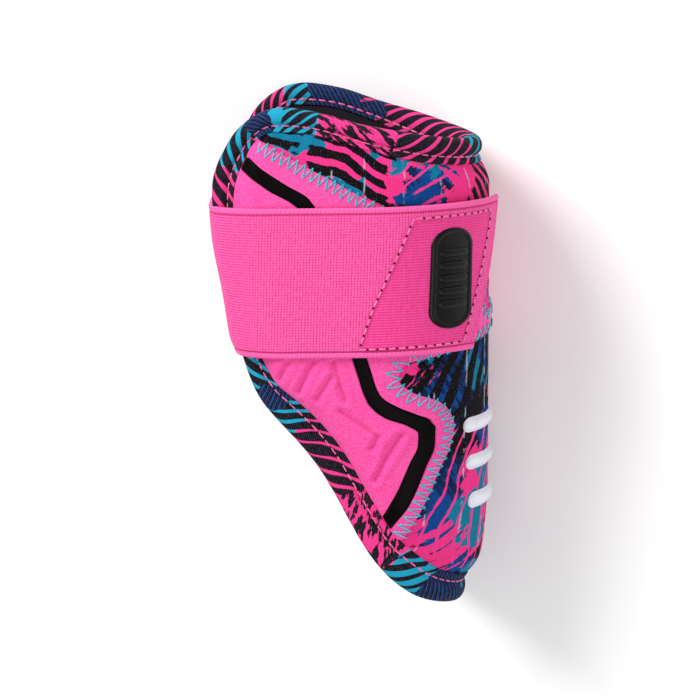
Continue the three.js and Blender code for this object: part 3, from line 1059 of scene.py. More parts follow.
STROKES = (
    Stroke(86.5, 110.0, 90.0, 103.0, 1.0),
    Stroke(76.5, 110.5, 82.0, 98.0, 1.1),
    Stroke(69.0, 104.4, 74.5, 95.0, 1.05),
    Stroke(68.5, 110.5, 63.0, 95.0, 1.0),
    Stroke(65.0, 90.4, 49.0, 79.5, 0.8),
    Stroke(49.4, 78.6, 51.5, 74.5, 0.9),
    Stroke(42.0, 79.5, 49.5, 60.5, 1.1),
)


@dataclass(frozen=True)
class Suede:
    """A soft pink brushed microfibre."""

    grain: float = 0.7
    crease_shade_reach: float = 1.0

    def crease_shading(self, kit: NodeKit) -> Wire:
        """Masks the foot of each embossed stroke, alike on both lobes, for the painted shade and the sunk
        bump there.

        Args:
            kit: the material.

        Returns:
            The creases, from 0 to 1.
        """
        around, up = kit.flat()
        side = around.size()
        total = side * 0.0
        for stroke in STROKES:
            run = (stroke.to_around - stroke.from_around, stroke.to_up - stroke.from_up)
            across, above = side - stroke.from_around, up - stroke.from_up
            share = (across * run[0] + above * run[1]) / (run[0] ** 2 + run[1] ** 2)
            share = share.math("MAXIMUM", 0.0).math("MINIMUM", 1.0)
            across, above = across - share * run[0], above - share * run[1]
            distance = (across * across + above * above).math("SQRT")
            total = total.math("MAXIMUM", 1 - distance.ease(0.1, self.crease_shade_reach))
        return total

    def make(self) -> bpy.types.Material:
        """Builds the material.

        Returns:
            The material.
        """
        kit = NodeKit("pink_suede")
        place = kit.object_place()
        nap = kit.noise(place, self.grain, 3.0)
        cloud = kit.noise(place, 20.0, 2.0)
        shade = kit.mix(nap.ease(0.34, 0.68), Dye.SUEDE_DEEP, Dye.SUEDE)
        shade = kit.mix(cloud.ease(0.35, 0.7) * 0.15, shade, Dye.SUEDE_PALE)
        crease_dip_and_shade = self.crease_shading(kit)
        # painted shade: the suede is darkened in the crease at the foot of each stroke
        shade = kit.mix(crease_dip_and_shade * 0.45, shade, Dye.SUEDE_CREASE_SHADE)
        kit.bump(nap - crease_dip_and_shade * 1.5, 0.14, 0.6)
        return kit.dress(Base_Color=shade, Roughness=0.85, Sheen_Weight=0.1, Specular_IOR_Level=0.2)


@dataclass(frozen=True)
class WovenElastic:
    """Pink elastic: a chevron weave, ribs alone where it is doubled or turns, and selvedges with painted
    shade in the grooves beside them.
    """

    rib_pitch: float = 1.15
    cord_pitch: float = 1.25
    width: float = 63.5
    selvedge: float = 2.2

    def make(self) -> bpy.types.Material:
        """Builds the material.

        Returns:
            The material.
        """
        kit = NodeKit("woven_elastic")
        along, across = kit.flat()
        double = kit.attribute("double")
        turning = kit.attribute("turning")
        wander = kit.noise((along, across), 5.0, 2.0)
        cord = ((along / self.cord_pitch + wander * 0.3).frac() * 2.0 - 1.0).size()
        ribbed = double.math("MAXIMUM", turning)
        lean = cord * (1 - ribbed) * 2.6
        ribs = (across * (2 * math.pi / self.rib_pitch) + wander * 1.2 + lean).sine()
        uneven = kit.noise((along * 1.3, across * 0.5), 1.1, 2.0) - 0.5
        plain = ribs * 0.55 + cord.ease(0.95, 0.5) * 0.9 - 0.5
        weave = plain * (1 - ribbed) + ribs * 0.6 * ribbed + uneven * 1.8
        inside = (across - self.width / 2).size()
        edge = self.width / 2 - self.selvedge
        hem = inside.ease(edge - 0.2, edge + 0.2)
        groove = 1 - (inside - (edge - 0.4)).size().ease(0.1, 0.6)
        twist = (along * 3.4 + across * 1.4).sine()
        height = weave * (1 - hem) + hem * twist * 0.5 - groove
        slub = kit.noise((along * 1.6, across * 0.12), 1.6, 2.0)
        light = kit.mix(double, Dye.ELASTIC, Dye.ELASTIC_DOUBLE)
        shade = kit.mix(weave.ease(-0.9, 0.6), Dye.ELASTIC_DEEP, light)
        shade = kit.mix(slub.ease(0.4, 0.75) * 0.16, shade, Dye.ELASTIC_SLUB)
        shade = kit.mix(hem * 0.5, shade, Dye.ELASTIC_HEM)
        # painted shade: the sunk groove beside each selvedge is darkened
        shade = kit.mix(groove * 0.85, shade, Dye.ELASTIC_GROOVE_SHADE)
        kit.bump(height, 0.16, 0.8)
        return kit.dress(Base_Color=shade, Roughness=0.85, Sheen_Weight=0.05, Specular_IOR_Level=0.2)


@dataclass(frozen=True)
class LiningCloth:
    """A dark lining knit with a fine mesh of holes."""

    pitch: float = 1.6

    def make(self) -> bpy.types.Material:
        """Builds the material.

        Returns:
            The material.
        """
        kit = NodeKit("lining_cloth")
        around, up = kit.flat()
        holes = (around * (2 * math.pi / self.pitch)).sine() * (up * (2 * math.pi / self.pitch)).sine()
        cloud = kit.noise((around, up), 12.0, 2.0)
        shade = kit.mix(holes.ease(-0.2, 0.6), Dye.LINING_HOLE, Dye.LINING)
        shade = kit.mix(cloud.ease(0.4, 0.7) * 0.3, shade, Dye.LINING_CLOUD)
        kit.bump(holes, 0.18, 0.7)
        return kit.dress(Base_Color=shade, Roughness=0.9, Specular_IOR_Level=0.25)


@dataclass(frozen=True)
class Moulding:
    """A smooth moulded rubber or plastic with faint pores."""

    name: str
    dark: tuple
    light: tuple
    roughness: float
    shine: float

    def make(self) -> bpy.types.Material:
        """Builds the material.

        Returns:
            The material.
        """
        kit = NodeKit(self.name)
        place = kit.object_place()
        cloud = kit.noise(place, 6.0, 2.0)
        pores = kit.noise(place, 0.35, 2.0)
        shade = kit.mix(cloud.ease(0.3, 0.7), self.dark, self.light)
        kit.bump(pores, 0.012, 0.4)
        rough = cloud * 0.12 + self.roughness
        return kit.dress(Base_Color=shade, Roughness=rough, Specular_IOR_Level=self.shine)


@dataclass(frozen=True)
class Thread:
    """A twisted sewing thread."""

    name: str
    dark: tuple
    light: tuple
    shine: float = 0.5

    def make(self) -> bpy.types.Material:
        """Builds the material.

        Returns:
            The material.
        """
        kit = NodeKit(self.name)
        place = kit.object_place()
        fleck = kit.noise(place, 0.5, 2.0)
        shade = kit.mix(fleck.ease(0.35, 0.65), self.dark, self.light)
        kit.bump(fleck, 0.05, 0.5)
        sheen = 0.2 * self.shine
        return kit.dress(Base_Color=shade, Roughness=0.55, Sheen_Weight=sheen, Specular_IOR_Level=self.shine)


class Wardrobe:
    """Every finish, made once."""

    def __init__(self) -> None:
        """Makes the cloths, the mouldings, the threads and the painted shade of the needle holes."""
        self.knit = PrintedKnit().make()
        self.twill = StripedTwill().make()
        self.suede = Suede().make()
        self.elastic = WovenElastic().make()
        self.lining = LiningCloth().make()
        self.band = Moulding("black_band", colour(7, 4, 5), colour(10, 7, 8), 0.4, 0.04).make()
        self.grip = Moulding("black_grip", colour(7, 6, 7), colour(11, 10, 12), 0.3, 0.2).make()
        white = colour(222, 225, 236), colour(232, 234, 242)
        self.white = Moulding("white_moulding", *white, 0.3, 0.4).make()
        self.pink_thread = Thread("pink_thread", colour(214, 60, 130), colour(255, 128, 186)).make()
        self.deep_thread = Thread("deep_thread", colour(222, 74, 146), colour(255, 138, 198), 0.3).make()
        self.teal_thread = Thread("teal_thread", colour(14, 142, 170), colour(62, 208, 224)).make()
        self.hook = Thread("hook_tape", colour(150, 26, 84), colour(206, 56, 128)).make()
        # dark, nearly unshining beads: painted shade inside the strap seam's needle holes
        self.needle_hole_shade = Thread("needle_hole", colour(78, 4, 32), colour(108, 10, 50), 0.02).make()


def spread(points: Array, drop: Optional[Array] = None) -> None:
    """Measures a piece of cloth's outer face, its widest row and its area, and keeps neither.

    Args:
        points: its outer face in form millimetres, rows by columns.
        drop: cells that it leaves out, or None.
    """
    along = np.diff(points, axis=1)
    above = np.diff(points, axis=0)
    cells = np.linalg.norm(np.cross(along[:-1], above[:, :-1]), axis=-1)
    kept = np.ones_like(cells) if drop is None else 1.0 - drop
    width = (np.linalg.norm(along[:-1], axis=-1) * kept).sum(1).max() * MILLI
    area = float((cells * kept).sum()) * MILLI**2


def register(obj: Piece, material: bpy.types.Material, nodes: Sequence[str] = ()) -> None:
    """Dresses a finished piece and hands it to the frame.

    Args:
        obj: the piece.
        material: its finish.
        nodes: the CAD nodes that it stands for.
    """
    obj.data.materials.clear()
    obj.data.materials.append(material)
    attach(obj, "root")
    if nodes:
        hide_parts(*nodes)
    LOG.info("%s: %d faces", obj.name, len(obj.data.polygons))


@dataclass
class Cover:
    """The foam pad in its printed knit, puffed up from the seam."""

    rows: int = 120
    columns: int = 240
    crowding: float = 0.7
    pucker: float = 0.35
    pucker_pitch: float = 8.5
    pucker_reach: float = 5.0
    channel_pitch: float = 13.0
    channel_width: float = 0.8
    channel_depth: float = 0.22
    inset: float = 0.3
    base: float = 1.85

    def build(self, wardrobe: Wardrobe) -> None:
        """Makes and dresses the pad.

        Args:
            wardrobe: every finish.
        """
        across, share = sheet_of_shares(self.rows, self.columns)
        share = share - self.crowding * np.sin(2 * math.pi * share) / (2 * math.pi)
        around, up = FORM.ladder(across, share, self.inset)
        distance = FORM.seam_distance(around, up)
        near = bell(distance, self.pucker_reach) * smoothstep(distance, 0, 1.5)
        wave = np.sin(2 * math.pi * (around + 0.3 * up) / self.pucker_pitch + 2.2 * np.sin(0.09 * up))
        wave += 0.5 * np.sin(2 * math.pi * (around - up) / (self.pucker_pitch * 1.7))
        beside = (np.mod(around / self.channel_pitch, 1) - 0.5) * self.channel_pitch
        puckers = self.pucker * near * wave
        channels = self.channel_depth * bell(beside, self.channel_width) * smoothstep(distance, 4, 12)
        high = FORM.pad_top(around, up) + puckers - channels
        obj = Patch(around, up, np.full_like(around, self.base), high).build("cover")
        register(obj, wardrobe.knit, ["pad"])


@dataclass
class Lining:
    """The thin cloth inside the hollow."""

    rows: int = 50
    columns: int = 120
    thick: float = 1.2
    inset: float = 0.4
    ripple: float = 0.12
    ripple_around: float = 6.0
    ripple_up: float = 9.0

    def build(self, wardrobe: Wardrobe) -> None:
        """Makes and dresses the lining.

        Args:
            wardrobe: every finish.
        """
        around, up = FORM.ladder(*sheet_of_shares(self.rows, self.columns), self.inset)
        ripple = self.ripple * np.sin(around / self.ripple_around) * np.sin(up / self.ripple_up)
        obj = Patch(around, up, ripple, np.full_like(around, self.thick)).build("lining_cloth")
        register(obj, wardrobe.lining, ["lining"])
        spread(FORM.wrap(around, up, self.thick))


class EdgeDye(NamedTuple):
    """How the tape's print changes along the edge, by row of the edge table."""

    row: float
    teal: float
    plain: float
    ink: float
    wild: float = 0


@dataclass
class RolledEdge:
    """The tape rolled round the edge, pinched by its seam."""

    stations: int = 900
    around_section: int = 36
    knot_samples: int = 12
    tape_width: float = 10.0
    seam: float = 0.735
    pucker: float = 0.2
    stitch_pitch: float = 4.3
    stitch_pull: float = 0.55
    slow_pitch: float = 11.3
    slow_sway: float = 23.0
    slow_pull: float = 0.65

    SECTION = (
        (0, 0.5),
        (0.03, 0.7),
        (0.12, 0.9),
        (0.3, 1.0),
        (0.48, 1.0),
        (0.6, 0.95),
        (0.69, 0.84),
        (0.735, 0.79),
        (0.78, 0.83),
        (0.87, 0.9),
        (0.96, 0.96),
        (1.02, 0.95),
        (1.04, 0.84),
        (1.0, 0.5),
        (1.0, 0.0),
        (0.9, -0.06),
        (0.735, -0.02),
        (0.6, -0.07),
        (0.35, -0.05),
        (0.12, 0.1),
        (0.02, 0.3),
    )
    DYES = (
        EdgeDye(0, 0.8, 0, 0.6),
        EdgeDye(1.6, 0.9, 0.1, 0.7),
        EdgeDye(2.4, 1, 0.75, 0.3),
        EdgeDye(2.9, 0.9, 0.6, 0.1),
        EdgeDye(3.6, 0.2, 0, 0.2, 1),
        EdgeDye(5.4, 0, 0.1, 0.2, 1),
        EdgeDye(6.2, 0, 0, 0.3),
        EdgeDye(8, 0, 0, 0),
        EdgeDye(8.6, 1, 0, 0.1),
        EdgeDye(9.7, 1, 0, 0.75),
        EdgeDye(10.5, 1, 0.1, 0.1),
        EdgeDye(13, 0.2, 0, 0),
        EdgeDye(14.8, 0.1, 0, 0),
        EdgeDye(15.6, 1, 0, 0),
        EdgeDye(17.5, 1, 0, 0.2),
        EdgeDye(18.5, 0.8, 0, 0.9),
        EdgeDye(19.8, 1, 0.9, 0.2),
        EdgeDye(20.6, 1, 0.2, 0.3),
        EdgeDye(21.4, 0, 0.3, 0.3, 1),
        EdgeDye(22.6, 0, 0.3, 0.1, 1),
        EdgeDye(23.2, 0, 0.1, 0.1),
        EdgeDye(24.6, 0, 0, 0),
        EdgeDye(25.3, 1, 0, 0),
        EdgeDye(26, 1, 0.7, 0.5),
        EdgeDye(27, 0.3, 0, 0.1),
        EdgeDye(29, 0, 0.2, 0.1),
        EdgeDye(30.4, 0.1, 0, 0.7),
        EdgeDye(31.4, 1, 0.2, 0.8),
        EdgeDye(32.6, 1, 0.7, 0.1),
        EdgeDye(34, 0, 0.1, 0.3),
        EdgeDye(40, 0.7, 0, 0.5),
        EdgeDye(46, 0, 0, 0),
        EdgeDye(52, 0.8, 0, 0.6),
    )

    def outline(self) -> Array:
        """Rounds the section's knots into a closed curve.

        Returns:
            Shares of the roll's width and height.
        """
        count = len(self.SECTION)
        fine = np.linspace(0, count, self.knot_samples * count, endpoint=False)
        return round_through(np.array(self.SECTION, float), fine, 0)

    def section(self) -> Array:
        """Samples the roll's closed section evenly along its outline.

        Returns:
            Shares of the roll's width and height.
        """
        curve = self.outline()
        loop = np.vstack([curve, curve[:1]])
        length = lengths_along(loop * (1.3, 1))
        even = np.linspace(0, length[-1], self.around_section, endpoint=False)
        return read_along(loop, length, even)

    def surface(self, inward: float, outside: bool) -> float:
        """Tells the height of the roll's outer or inner face at a share of its width.

        Args:
            inward: a share of the roll's width.
            outside: whether the outer face is meant.

        Returns:
            Millimetres over the lining.
        """
        curve = self.outline()
        side = curve[curve[:, 1] > 0.6] if outside else curve[curve[:, 1] < 0.2]
        order = np.argsort(side[:, 0])
        return float(np.interp(inward, side[order, 0], side[order, 1])) * FORM.roll_height

    def wave(self, along: Array) -> Array:
        """Gives the small pull of each stitch and the slower puckers, from -1 to 1.

        Args:
            along: millimetres along the edge.

        Returns:
            The pull at each.
        """
        pull = np.cos(2 * math.pi * along / self.stitch_pitch)
        slow = np.sin(2 * math.pi * along / self.slow_pitch + 1.7 * np.sin(along / self.slow_sway))
        return self.stitch_pull * pull + self.slow_pull * slow

    def stations_along(self) -> tuple[Array, Array, float]:
        """Spaces the stations evenly.

        Returns:
            The row and the millimetres of each station, and the whole length.
        """
        rows = np.linspace(0, EDGE_COUNT, self.stations * 4, endpoint=False)
        points = FORM.edge(rows)[:, :2]
        length = lengths_along(np.vstack([points, points[:1]]))
        even = np.linspace(0, length[-1], self.stations, endpoint=False)
        return np.interp(even, length, np.append(rows, EDGE_COUNT)), even, length[-1]

    def build(self, wardrobe: Wardrobe) -> None:
        """Makes and dresses the rolled edge.

        Args:
            wardrobe: every finish.
        """
        row, even, whole = self.stations_along()
        section = self.section()
        station, k = np.meshgrid(np.arange(self.stations), np.arange(self.around_section), indexing="ij")
        inward = section[k, 0]
        height = section[k, 1] * FORM.roll_height
        outside = height > 0.5 * FORM.roll_height
        near_seam = bell(inward - self.seam, 0.2) + 0.5 * smoothstep(inward, 0.8, 1.0)
        height = height + self.pucker * self.wave(even[station]) * near_seam * np.where(outside, 1, 0.5)
        place = FORM.in_from_edge(row[station], inward)
        points = FORM.to_frame(FORM.wrap(place[..., 0], place[..., 1], height))
        loop = np.vstack([section, section[:1]])
        obj = self.ring(points, row, whole, lengths_along(loop * self.tape_width))
        register(obj, wardrobe.twill, ["edge_binding"])

    def ring(self, points: Array, row: Array, whole: float, width: Array) -> Piece:
        """Rolls a grid up into the closed ring.

        Args:
            points: stations by section points, in the frame.
            row: each station's row of the edge table.
            whole: millimetres round the edge, for the UV map.
            width: millimetres round the section at each point and back at the first.

        Returns:
            The closed ring.
        """
        obj = Tool.grid("rolled_edge", self.stations, self.around_section)
        station, k = np.divmod(Tool.cells(obj), self.around_section + 1)
        places = points[station % self.stations, k % self.around_section]
        Tool.settle(obj, places, np.stack([station * whole / self.stations, width[k]], -1))
        rows, *dyes = np.array(self.DYES, float).T
        for name, values in zip(EdgeDye._fields[1:], dyes):
            Tool.keep(obj, name, np.interp(row[station % self.stations], rows, values))
        with Tool.editing(obj):
            bpy.ops.mesh.remove_doubles(threshold=1e-7)
        Tool.finish(obj, 60)
        return obj


@dataclass
class SidePanel:
    """The suede overlay with its two lobes, their grooves and the bands let into them."""

    thick: float = 1.25
    seat: float = 0.12
    band_width: float = 6.0
    groove: float = 0.75
    rows: int = 235
    strip_cells: int = 12
    field_cells: int = 80
    stroke_width: float = 1.3
    field_crowding: float = 1.3
    tuck: float = 0.25
    lip: float = 0.12
    sliver: float = 0.25
    slit: float = 0.22
    band_cells: int = 14
    crown: float = 0.62
    edge_sink: float = 0.55
    edge_reach: float = 0.9
    foot: float = 0.16
    head: float = 0.9425
    waist: tuple[float, float] = (0.5525, 0.588)

    def lobe(self) -> dict[str, Array]:
        """Works out one lobe's rows: heights, sides, band and groove depth.

        Returns:
            One value for each row, by name.
        """
        share = np.linspace(self.foot, self.head, self.rows + 1)
        up = share * FORM.length
        outer = FORM.rim_at(up, 1.0) - self.tuck
        inner = smooth_at(PANEL_SIDE, 1, share) * FORM.half_girth
        middle = smooth_at(BAND_MIDDLE, 1, share) * FORM.half_girth
        slope = np.gradient(middle, up)
        half = self.band_width / 2 * np.hypot(1, slope)
        sliver = self.sliver
        outer = np.maximum(outer, inner + 8 * sliver)
        band_outer = np.clip(middle + half, inner + 5 * sliver, outer - 0.4 * sliver)
        band_inner = np.clip(middle - half, inner + 2 * sliver, band_outer - 2 * sliver)
        # the groove ends where the band would run out over the panel's outer side
        depth = np.clip((outer - middle + half - 0.8) / 0.5, 0, 1)
        sides = dict(outer=outer, inner=inner, band_outer=band_outer, band_inner=band_inner)
        return dict(up=up, depth=depth, **sides)

    def emboss(self, around: Array, up: Array) -> Array:
        """Gives the depth of the embossed strokes, with the cloth a little raised beside them.

        Args:
            around: places round from the spine.
            up: places along the spine.

        Returns:
            The depth at each.
        """
        place = np.stack([around, up], -1)
        total = np.zeros_like(around)
        for stroke in STROKES:
            distance = distance_to_run(place, stroke[0:2], stroke[2:4])
            beside = bell(distance - 2.1 * self.stroke_width, self.stroke_width)
            total += stroke.depth * (bell(distance, self.stroke_width) - 0.42 * beside)
        return total

    def columns(self, lobe: dict[str, Array]) -> tuple[Array, Array]:
        """Lays the columns of one lobe from the spine outwards.

        Args:
            lobe: the lobe's rows.

        Returns:
            The places around and the groove's share at each.
        """
        lip = self.lip
        strip = np.linspace(0, 1, self.strip_cells)
        wide = 1 - (1 - np.linspace(0, 1, self.field_cells)) ** self.field_crowding
        inner, band_inner = lobe["inner"][:, None], lobe["band_inner"][:, None]
        band_outer, outer = lobe["band_outer"][:, None], lobe["outer"][:, None]
        around = np.hstack(
            [
                inner + (band_inner - lip - inner) * strip,
                band_inner + lip,
                (band_inner + band_outer) / 2,
                band_outer - lip,
                band_outer + lip + (outer - band_outer - lip) * wide,
            ]
        )
        sunk = np.zeros_like(around)
        sunk[:, self.strip_cells : self.strip_cells + 3] = lobe["depth"][:, None]
        return around, sunk

    def build(self, wardrobe: Wardrobe) -> None:
        """Makes and dresses the panel and its two bands.

        Args:
            wardrobe: every finish.
        """
        lobe = self.lobe()
        around, sunk = self.columns(lobe)
        up = np.broadcast_to(lobe["up"][:, None], around.shape)
        base = FORM.pad_top(around, up)
        side = np.minimum(around - lobe["inner"][:, None], lobe["outer"][:, None] - around)
        soft_edge = self.edge_sink * bell(np.maximum(side, 0), self.edge_reach)
        high = base + self.seat + self.thick - soft_edge - sunk * self.groove - self.emboss(around, up)
        low = base + self.seat - 0.4 * soft_edge
        mirror = [np.hstack([grid[:, ::-1], grid]) for grid in (up, low, high)]
        both = np.hstack([-around[:, ::-1], around])
        cells = np.zeros((self.rows, both.shape[1] - 1), bool)
        share = (lobe["up"][1:] + lobe["up"][:-1]) / 2 / FORM.length
        cells[:, around.shape[1] - 1] = (share < self.waist[0]) | (share > self.waist[1])
        obj = Patch(both, *mirror, drop=cells).build("side_panel_cloth")
        register(obj, wardrobe.suede, ["side_panel"])
        spread(FORM.wrap(both, mirror[0], mirror[2]), cells)
        for side, sign in (("near", 1), ("far", -1)):
            band = self.band(lobe, sign, f"band_{side}")
            register(band, wardrobe.band, [f"inlay_{side}"])

    def band(self, lobe: dict[str, Array], sign: int, name: str) -> Piece:
        """Makes the moulded band in one lobe's groove.

        Args:
            lobe: the lobe's rows.
            sign: 1 for the near side, -1 for the far.
            name: the piece's name.

        Returns:
            The band.
        """
        keep = lobe["depth"] > 0.99
        across = np.linspace(0, 1, self.band_cells + 1)
        inner = lobe["band_inner"][keep][:, None] + self.slit
        outer = lobe["band_outer"][keep][:, None] - self.slit
        around = inner + (outer - inner) * across
        up = np.broadcast_to(lobe["up"][keep][:, None], around.shape)
        base = FORM.pad_top(around, up) + self.seat + self.thick - self.groove
        crown = self.crown * (1 - np.abs(2 * across - 1) ** 6)
        around, up, low, high = sign * around, up, base + 0.02, base + 0.03 + crown
        if sign < 0:
            around, up, low, high = (grid[:, ::-1] for grid in (around, up, low, high))
        return Patch(around, up, low, high).build(name)


class Bend(NamedTuple):
    """A point of the strap's way round a front edge."""

    past: float
    height: float


@dataclass
class Strap:
    """The wide elastic, from its sewn far end round the open side to its slanted near end."""

    width: float = 63.5
    thick: float = 1.6
    middle: float = 15.95
    bottom: float = 0.522
    lean: float = 2.0
    near_end_low: float = 20.0
    near_end_high: float = 3.0
    far_end: float = 0.24
    bulge: float = 2.5
    fuller: float = 2.4
    settle: float = 0.75
    columns: int = 560
    middle_rows: int = 26
    hem: float = 3.0
    seam_sink: float = 0.26
    turns: tuple[float, float] = (92.0, 110.0)
    anchor: float = 55.0
    corner: float = 24.0
    take_up: float = 1.5
    near_cells: int = 60
    far_cells: int = 50
    crossing_cells: int = 8
    smoothings: int = 3
    floor_gap: float = 0.0006

    EDGE_STEPS = (0, 0.2, 0.5, 0.9, 1.4, 1.9, 2.2, 2.5, 2.8, 3.2, 4.2)

    BENDS = (
        Bend(-17, 15.5),
        Bend(-10, 14.1),
        Bend(-4.8, 11.4),
        Bend(-1.2, 9.6),
        Bend(1.0, 7.2),
        Bend(1.8, 3.6),
    )

    def height_at(self, share: Any) -> Any:
        """Gives the flat height at a share of the strap's width."""
        return self.bottom * FORM.length + share * (self.width - self.take_up)

    def settled(self, around: Array) -> Array:
        """Gives the height of the strap's middle over the near flank."""
        return self.middle - self.settle * smoothstep(around, 10, 40)

    def way(self, share: float) -> tuple[Array, Array, Array]:
        """Lays the strap's middle at one share of its width.

        Args:
            share: 0 at the lower edge, 1 at the upper.

        Returns:
            The points in form millimetres, the length along to each, and how far round the near
            flank each lies.
        """
        up = self.height_at(share)
        start = self.near_end_low + (self.near_end_high - self.near_end_low) * share
        front = float(FORM.rim_at(np.array([up]), 0.0)[0])
        near = np.linspace(start, front - self.corner, self.near_cells)
        climb = up + self.lean * (1 - near / FORM.half_girth)
        near_points = FORM.wrap(near, climb, self.settled(near))
        far = np.linspace(self.corner - front, -self.far_end * FORM.half_girth, self.far_cells)
        far_points = FORM.wrap(far, up, self.middle)
        fuller = self.fuller * (1 - share) * float(0.4 + 0.6 * smoothstep(np.array(share), 0.0, 0.12))
        past = np.array([bend.past for bend in self.BENDS]) + fuller
        height = np.array([bend.height for bend in self.BENDS])
        near_corner = FORM.wrap(front + past, up, height)
        far_corner = FORM.wrap(-(front + past), up, height)[::-1]
        t = np.linspace(0, 1, self.crossing_cells + 1)[1:-1, None]
        crossing = near_corner[-1] + (far_corner[0] - near_corner[-1]) * t
        crossing[:, 0] -= (4 * t * (1 - t) * self.bulge)[:, 0]
        path = np.vstack([near_points, near_corner, crossing, far_corner, far_points])
        for _ in range(self.smoothings):
            path[1:-1] = (path[:-2] + 2 * path[1:-1] + path[2:]) / 4
        length = lengths_along(path)
        even = np.linspace(0, length[-1], self.columns + 1)
        points = read_along(path, length, even)
        around = np.interp(even, length[: len(near)], near)
        return points, even, around + np.maximum(even - length[len(near) - 1], 0)

    def seam_distance(self, around: Array, up: Array) -> tuple[Array, Array]:
        """Measures the strap's sewn outline.

        Args:
            around: places on the near flank.
            up: places on the near flank.

        Returns:
            The distance to the outline, and 1 inside it.
        """
        place = np.stack([around, up], -1)
        nearest = np.full(around.shape, np.inf)
        inside = np.ones(around.shape)
        for start, end in ClosingPatch.seam():
            nearest = np.minimum(nearest, distance_to_run(place, start, end))
            run, here = np.subtract(end, start), place - start
            side = (here[..., 1] * run[0] - here[..., 0] * run[1]) / np.linalg.norm(run)
            inside = np.minimum(inside, smoothstep(-side, -0.4, 0.4))
        return nearest, inside

    def half_thickness(self, across: Array, along: Array, seam: Array) -> Array:
        """Shapes the selvedges, the hemmed ends and the sunk seam.

        Args:
            across: millimetres from the lower edge.
            along: millimetres from the near end.
            seam: millimetres from the sewn outline.

        Returns:
            Half the strap's thickness.
        """
        side = np.minimum(across, self.width - across)
        tip = np.minimum(along, along[:, -1:] - along)
        # a rounded rim, a raised selvedge and the groove beside it, then a rim and a hem at each end
        half = self.thick / 2 * (1 - 0.45 * bell(side, 0.4))
        half = half + 0.16 * bell(side - 1.1, 0.7) - 0.24 * bell(side - 2.5, 0.3)
        half = half * (1 - 0.4 * bell(tip, 0.5)) + 0.14 * bell(tip - 1.6, 0.9)
        return half - 0.18 * bell(tip - self.hem, 0.5) - self.seam_sink * bell(seam, 0.8)

    def build(self, wardrobe: Wardrobe) -> None:
        """Makes and dresses the strap.

        Args:
            wardrobe: every finish.
        """
        edge = np.array(self.EDGE_STEPS) / self.width
        middle = np.linspace(edge[-1], 1 - edge[-1], self.middle_rows + 1)[1:-1]
        shares = np.concatenate([edge, middle, 1 - edge[::-1]])
        ways = [self.way(float(share)) for share in shares]
        points, along, around = (np.array([way[k] for way in ways]) for k in range(3))
        upward = points[-1] - points[0]
        onward = np.gradient(points, axis=1)
        outward = np.cross(np.broadcast_to(upward, points.shape), onward)
        outward /= np.linalg.norm(outward, axis=-1, keepdims=True)
        across = np.broadcast_to((shares * self.width)[:, None], along.shape)
        up = self.height_at(shares[:, None]) + self.lean
        seam, double = self.seam_distance(around, np.broadcast_to(up, around.shape))
        lift = outward * self.half_thickness(across, along, seam)[..., None]
        low, high = FORM.to_frame(points - lift), FORM.to_frame(points + lift)
        low[..., 2] = np.maximum(low[..., 2], self.floor_gap)
        high[..., 2] = np.maximum(high[..., 2], 0)
        anchor = [float(np.interp(self.anchor, near, run)) for near, run in zip(around, along)]
        flat = np.stack([along - np.array(anchor)[:, None], across], -1)
        values = {"double": double, "turning": smoothstep(around, *self.turns)}
        obj = shell("elastic_strap", low, high, flat, values=values)
        register(obj, wardrobe.elastic, ["strap"])
        whole = float(along.mean(0)[-1])
        flat = (self.width * MILLI, whole * MILLI)


@dataclass
class ClosingPatch:
    """The plain hook patch under the strap's near end."""

    low: float = 117.5
    high: float = 170.5
    inner_low: float = 24.0
    inner_high: float = 10.5
    outer_low: float = 58.0
    outer_high: float = 42.0
    height: float = 13.6
    thick: float = 0.7
    columns: int = 40
    rows: int = 60

    SEAM_CORNERS = ((42.4, 170.4), (58.3, 116.8), (24.3, 117.8), (11.2, 171.0))

    @classmethod
    def seam(cls) -> list[tuple]:
        """Gives both ends of each side of the seam that holds the patch, in the flat."""
        return list(zip(cls.SEAM_CORNERS, cls.SEAM_CORNERS[1:] + cls.SEAM_CORNERS[:1]))

    def build(self, wardrobe: Wardrobe) -> None:
        """Makes and dresses the patch.

        Args:
            wardrobe: every finish.
        """
        column, row = np.meshgrid(np.linspace(0, 1, self.columns + 1), np.linspace(0, 1, self.rows + 1))
        inner = self.inner_low + (self.inner_high - self.inner_low) * row
        outer = self.outer_low + (self.outer_high - self.outer_low) * row
        around = inner + (outer - inner) * column
        up = self.low + (self.high - self.low) * row
        rim = np.minimum(np.minimum(row, 1 - row), np.minimum(column, 1 - column))
        low = np.full_like(around, self.height)
        high = low + self.thick * (1 - 0.4 * bell(rim, 0.015))
        obj = Patch(around, up, low, high).build("closing_patch")
        register(obj, wardrobe.hook, ["hook_patch"])
        spread(FORM.wrap(around, up, high))


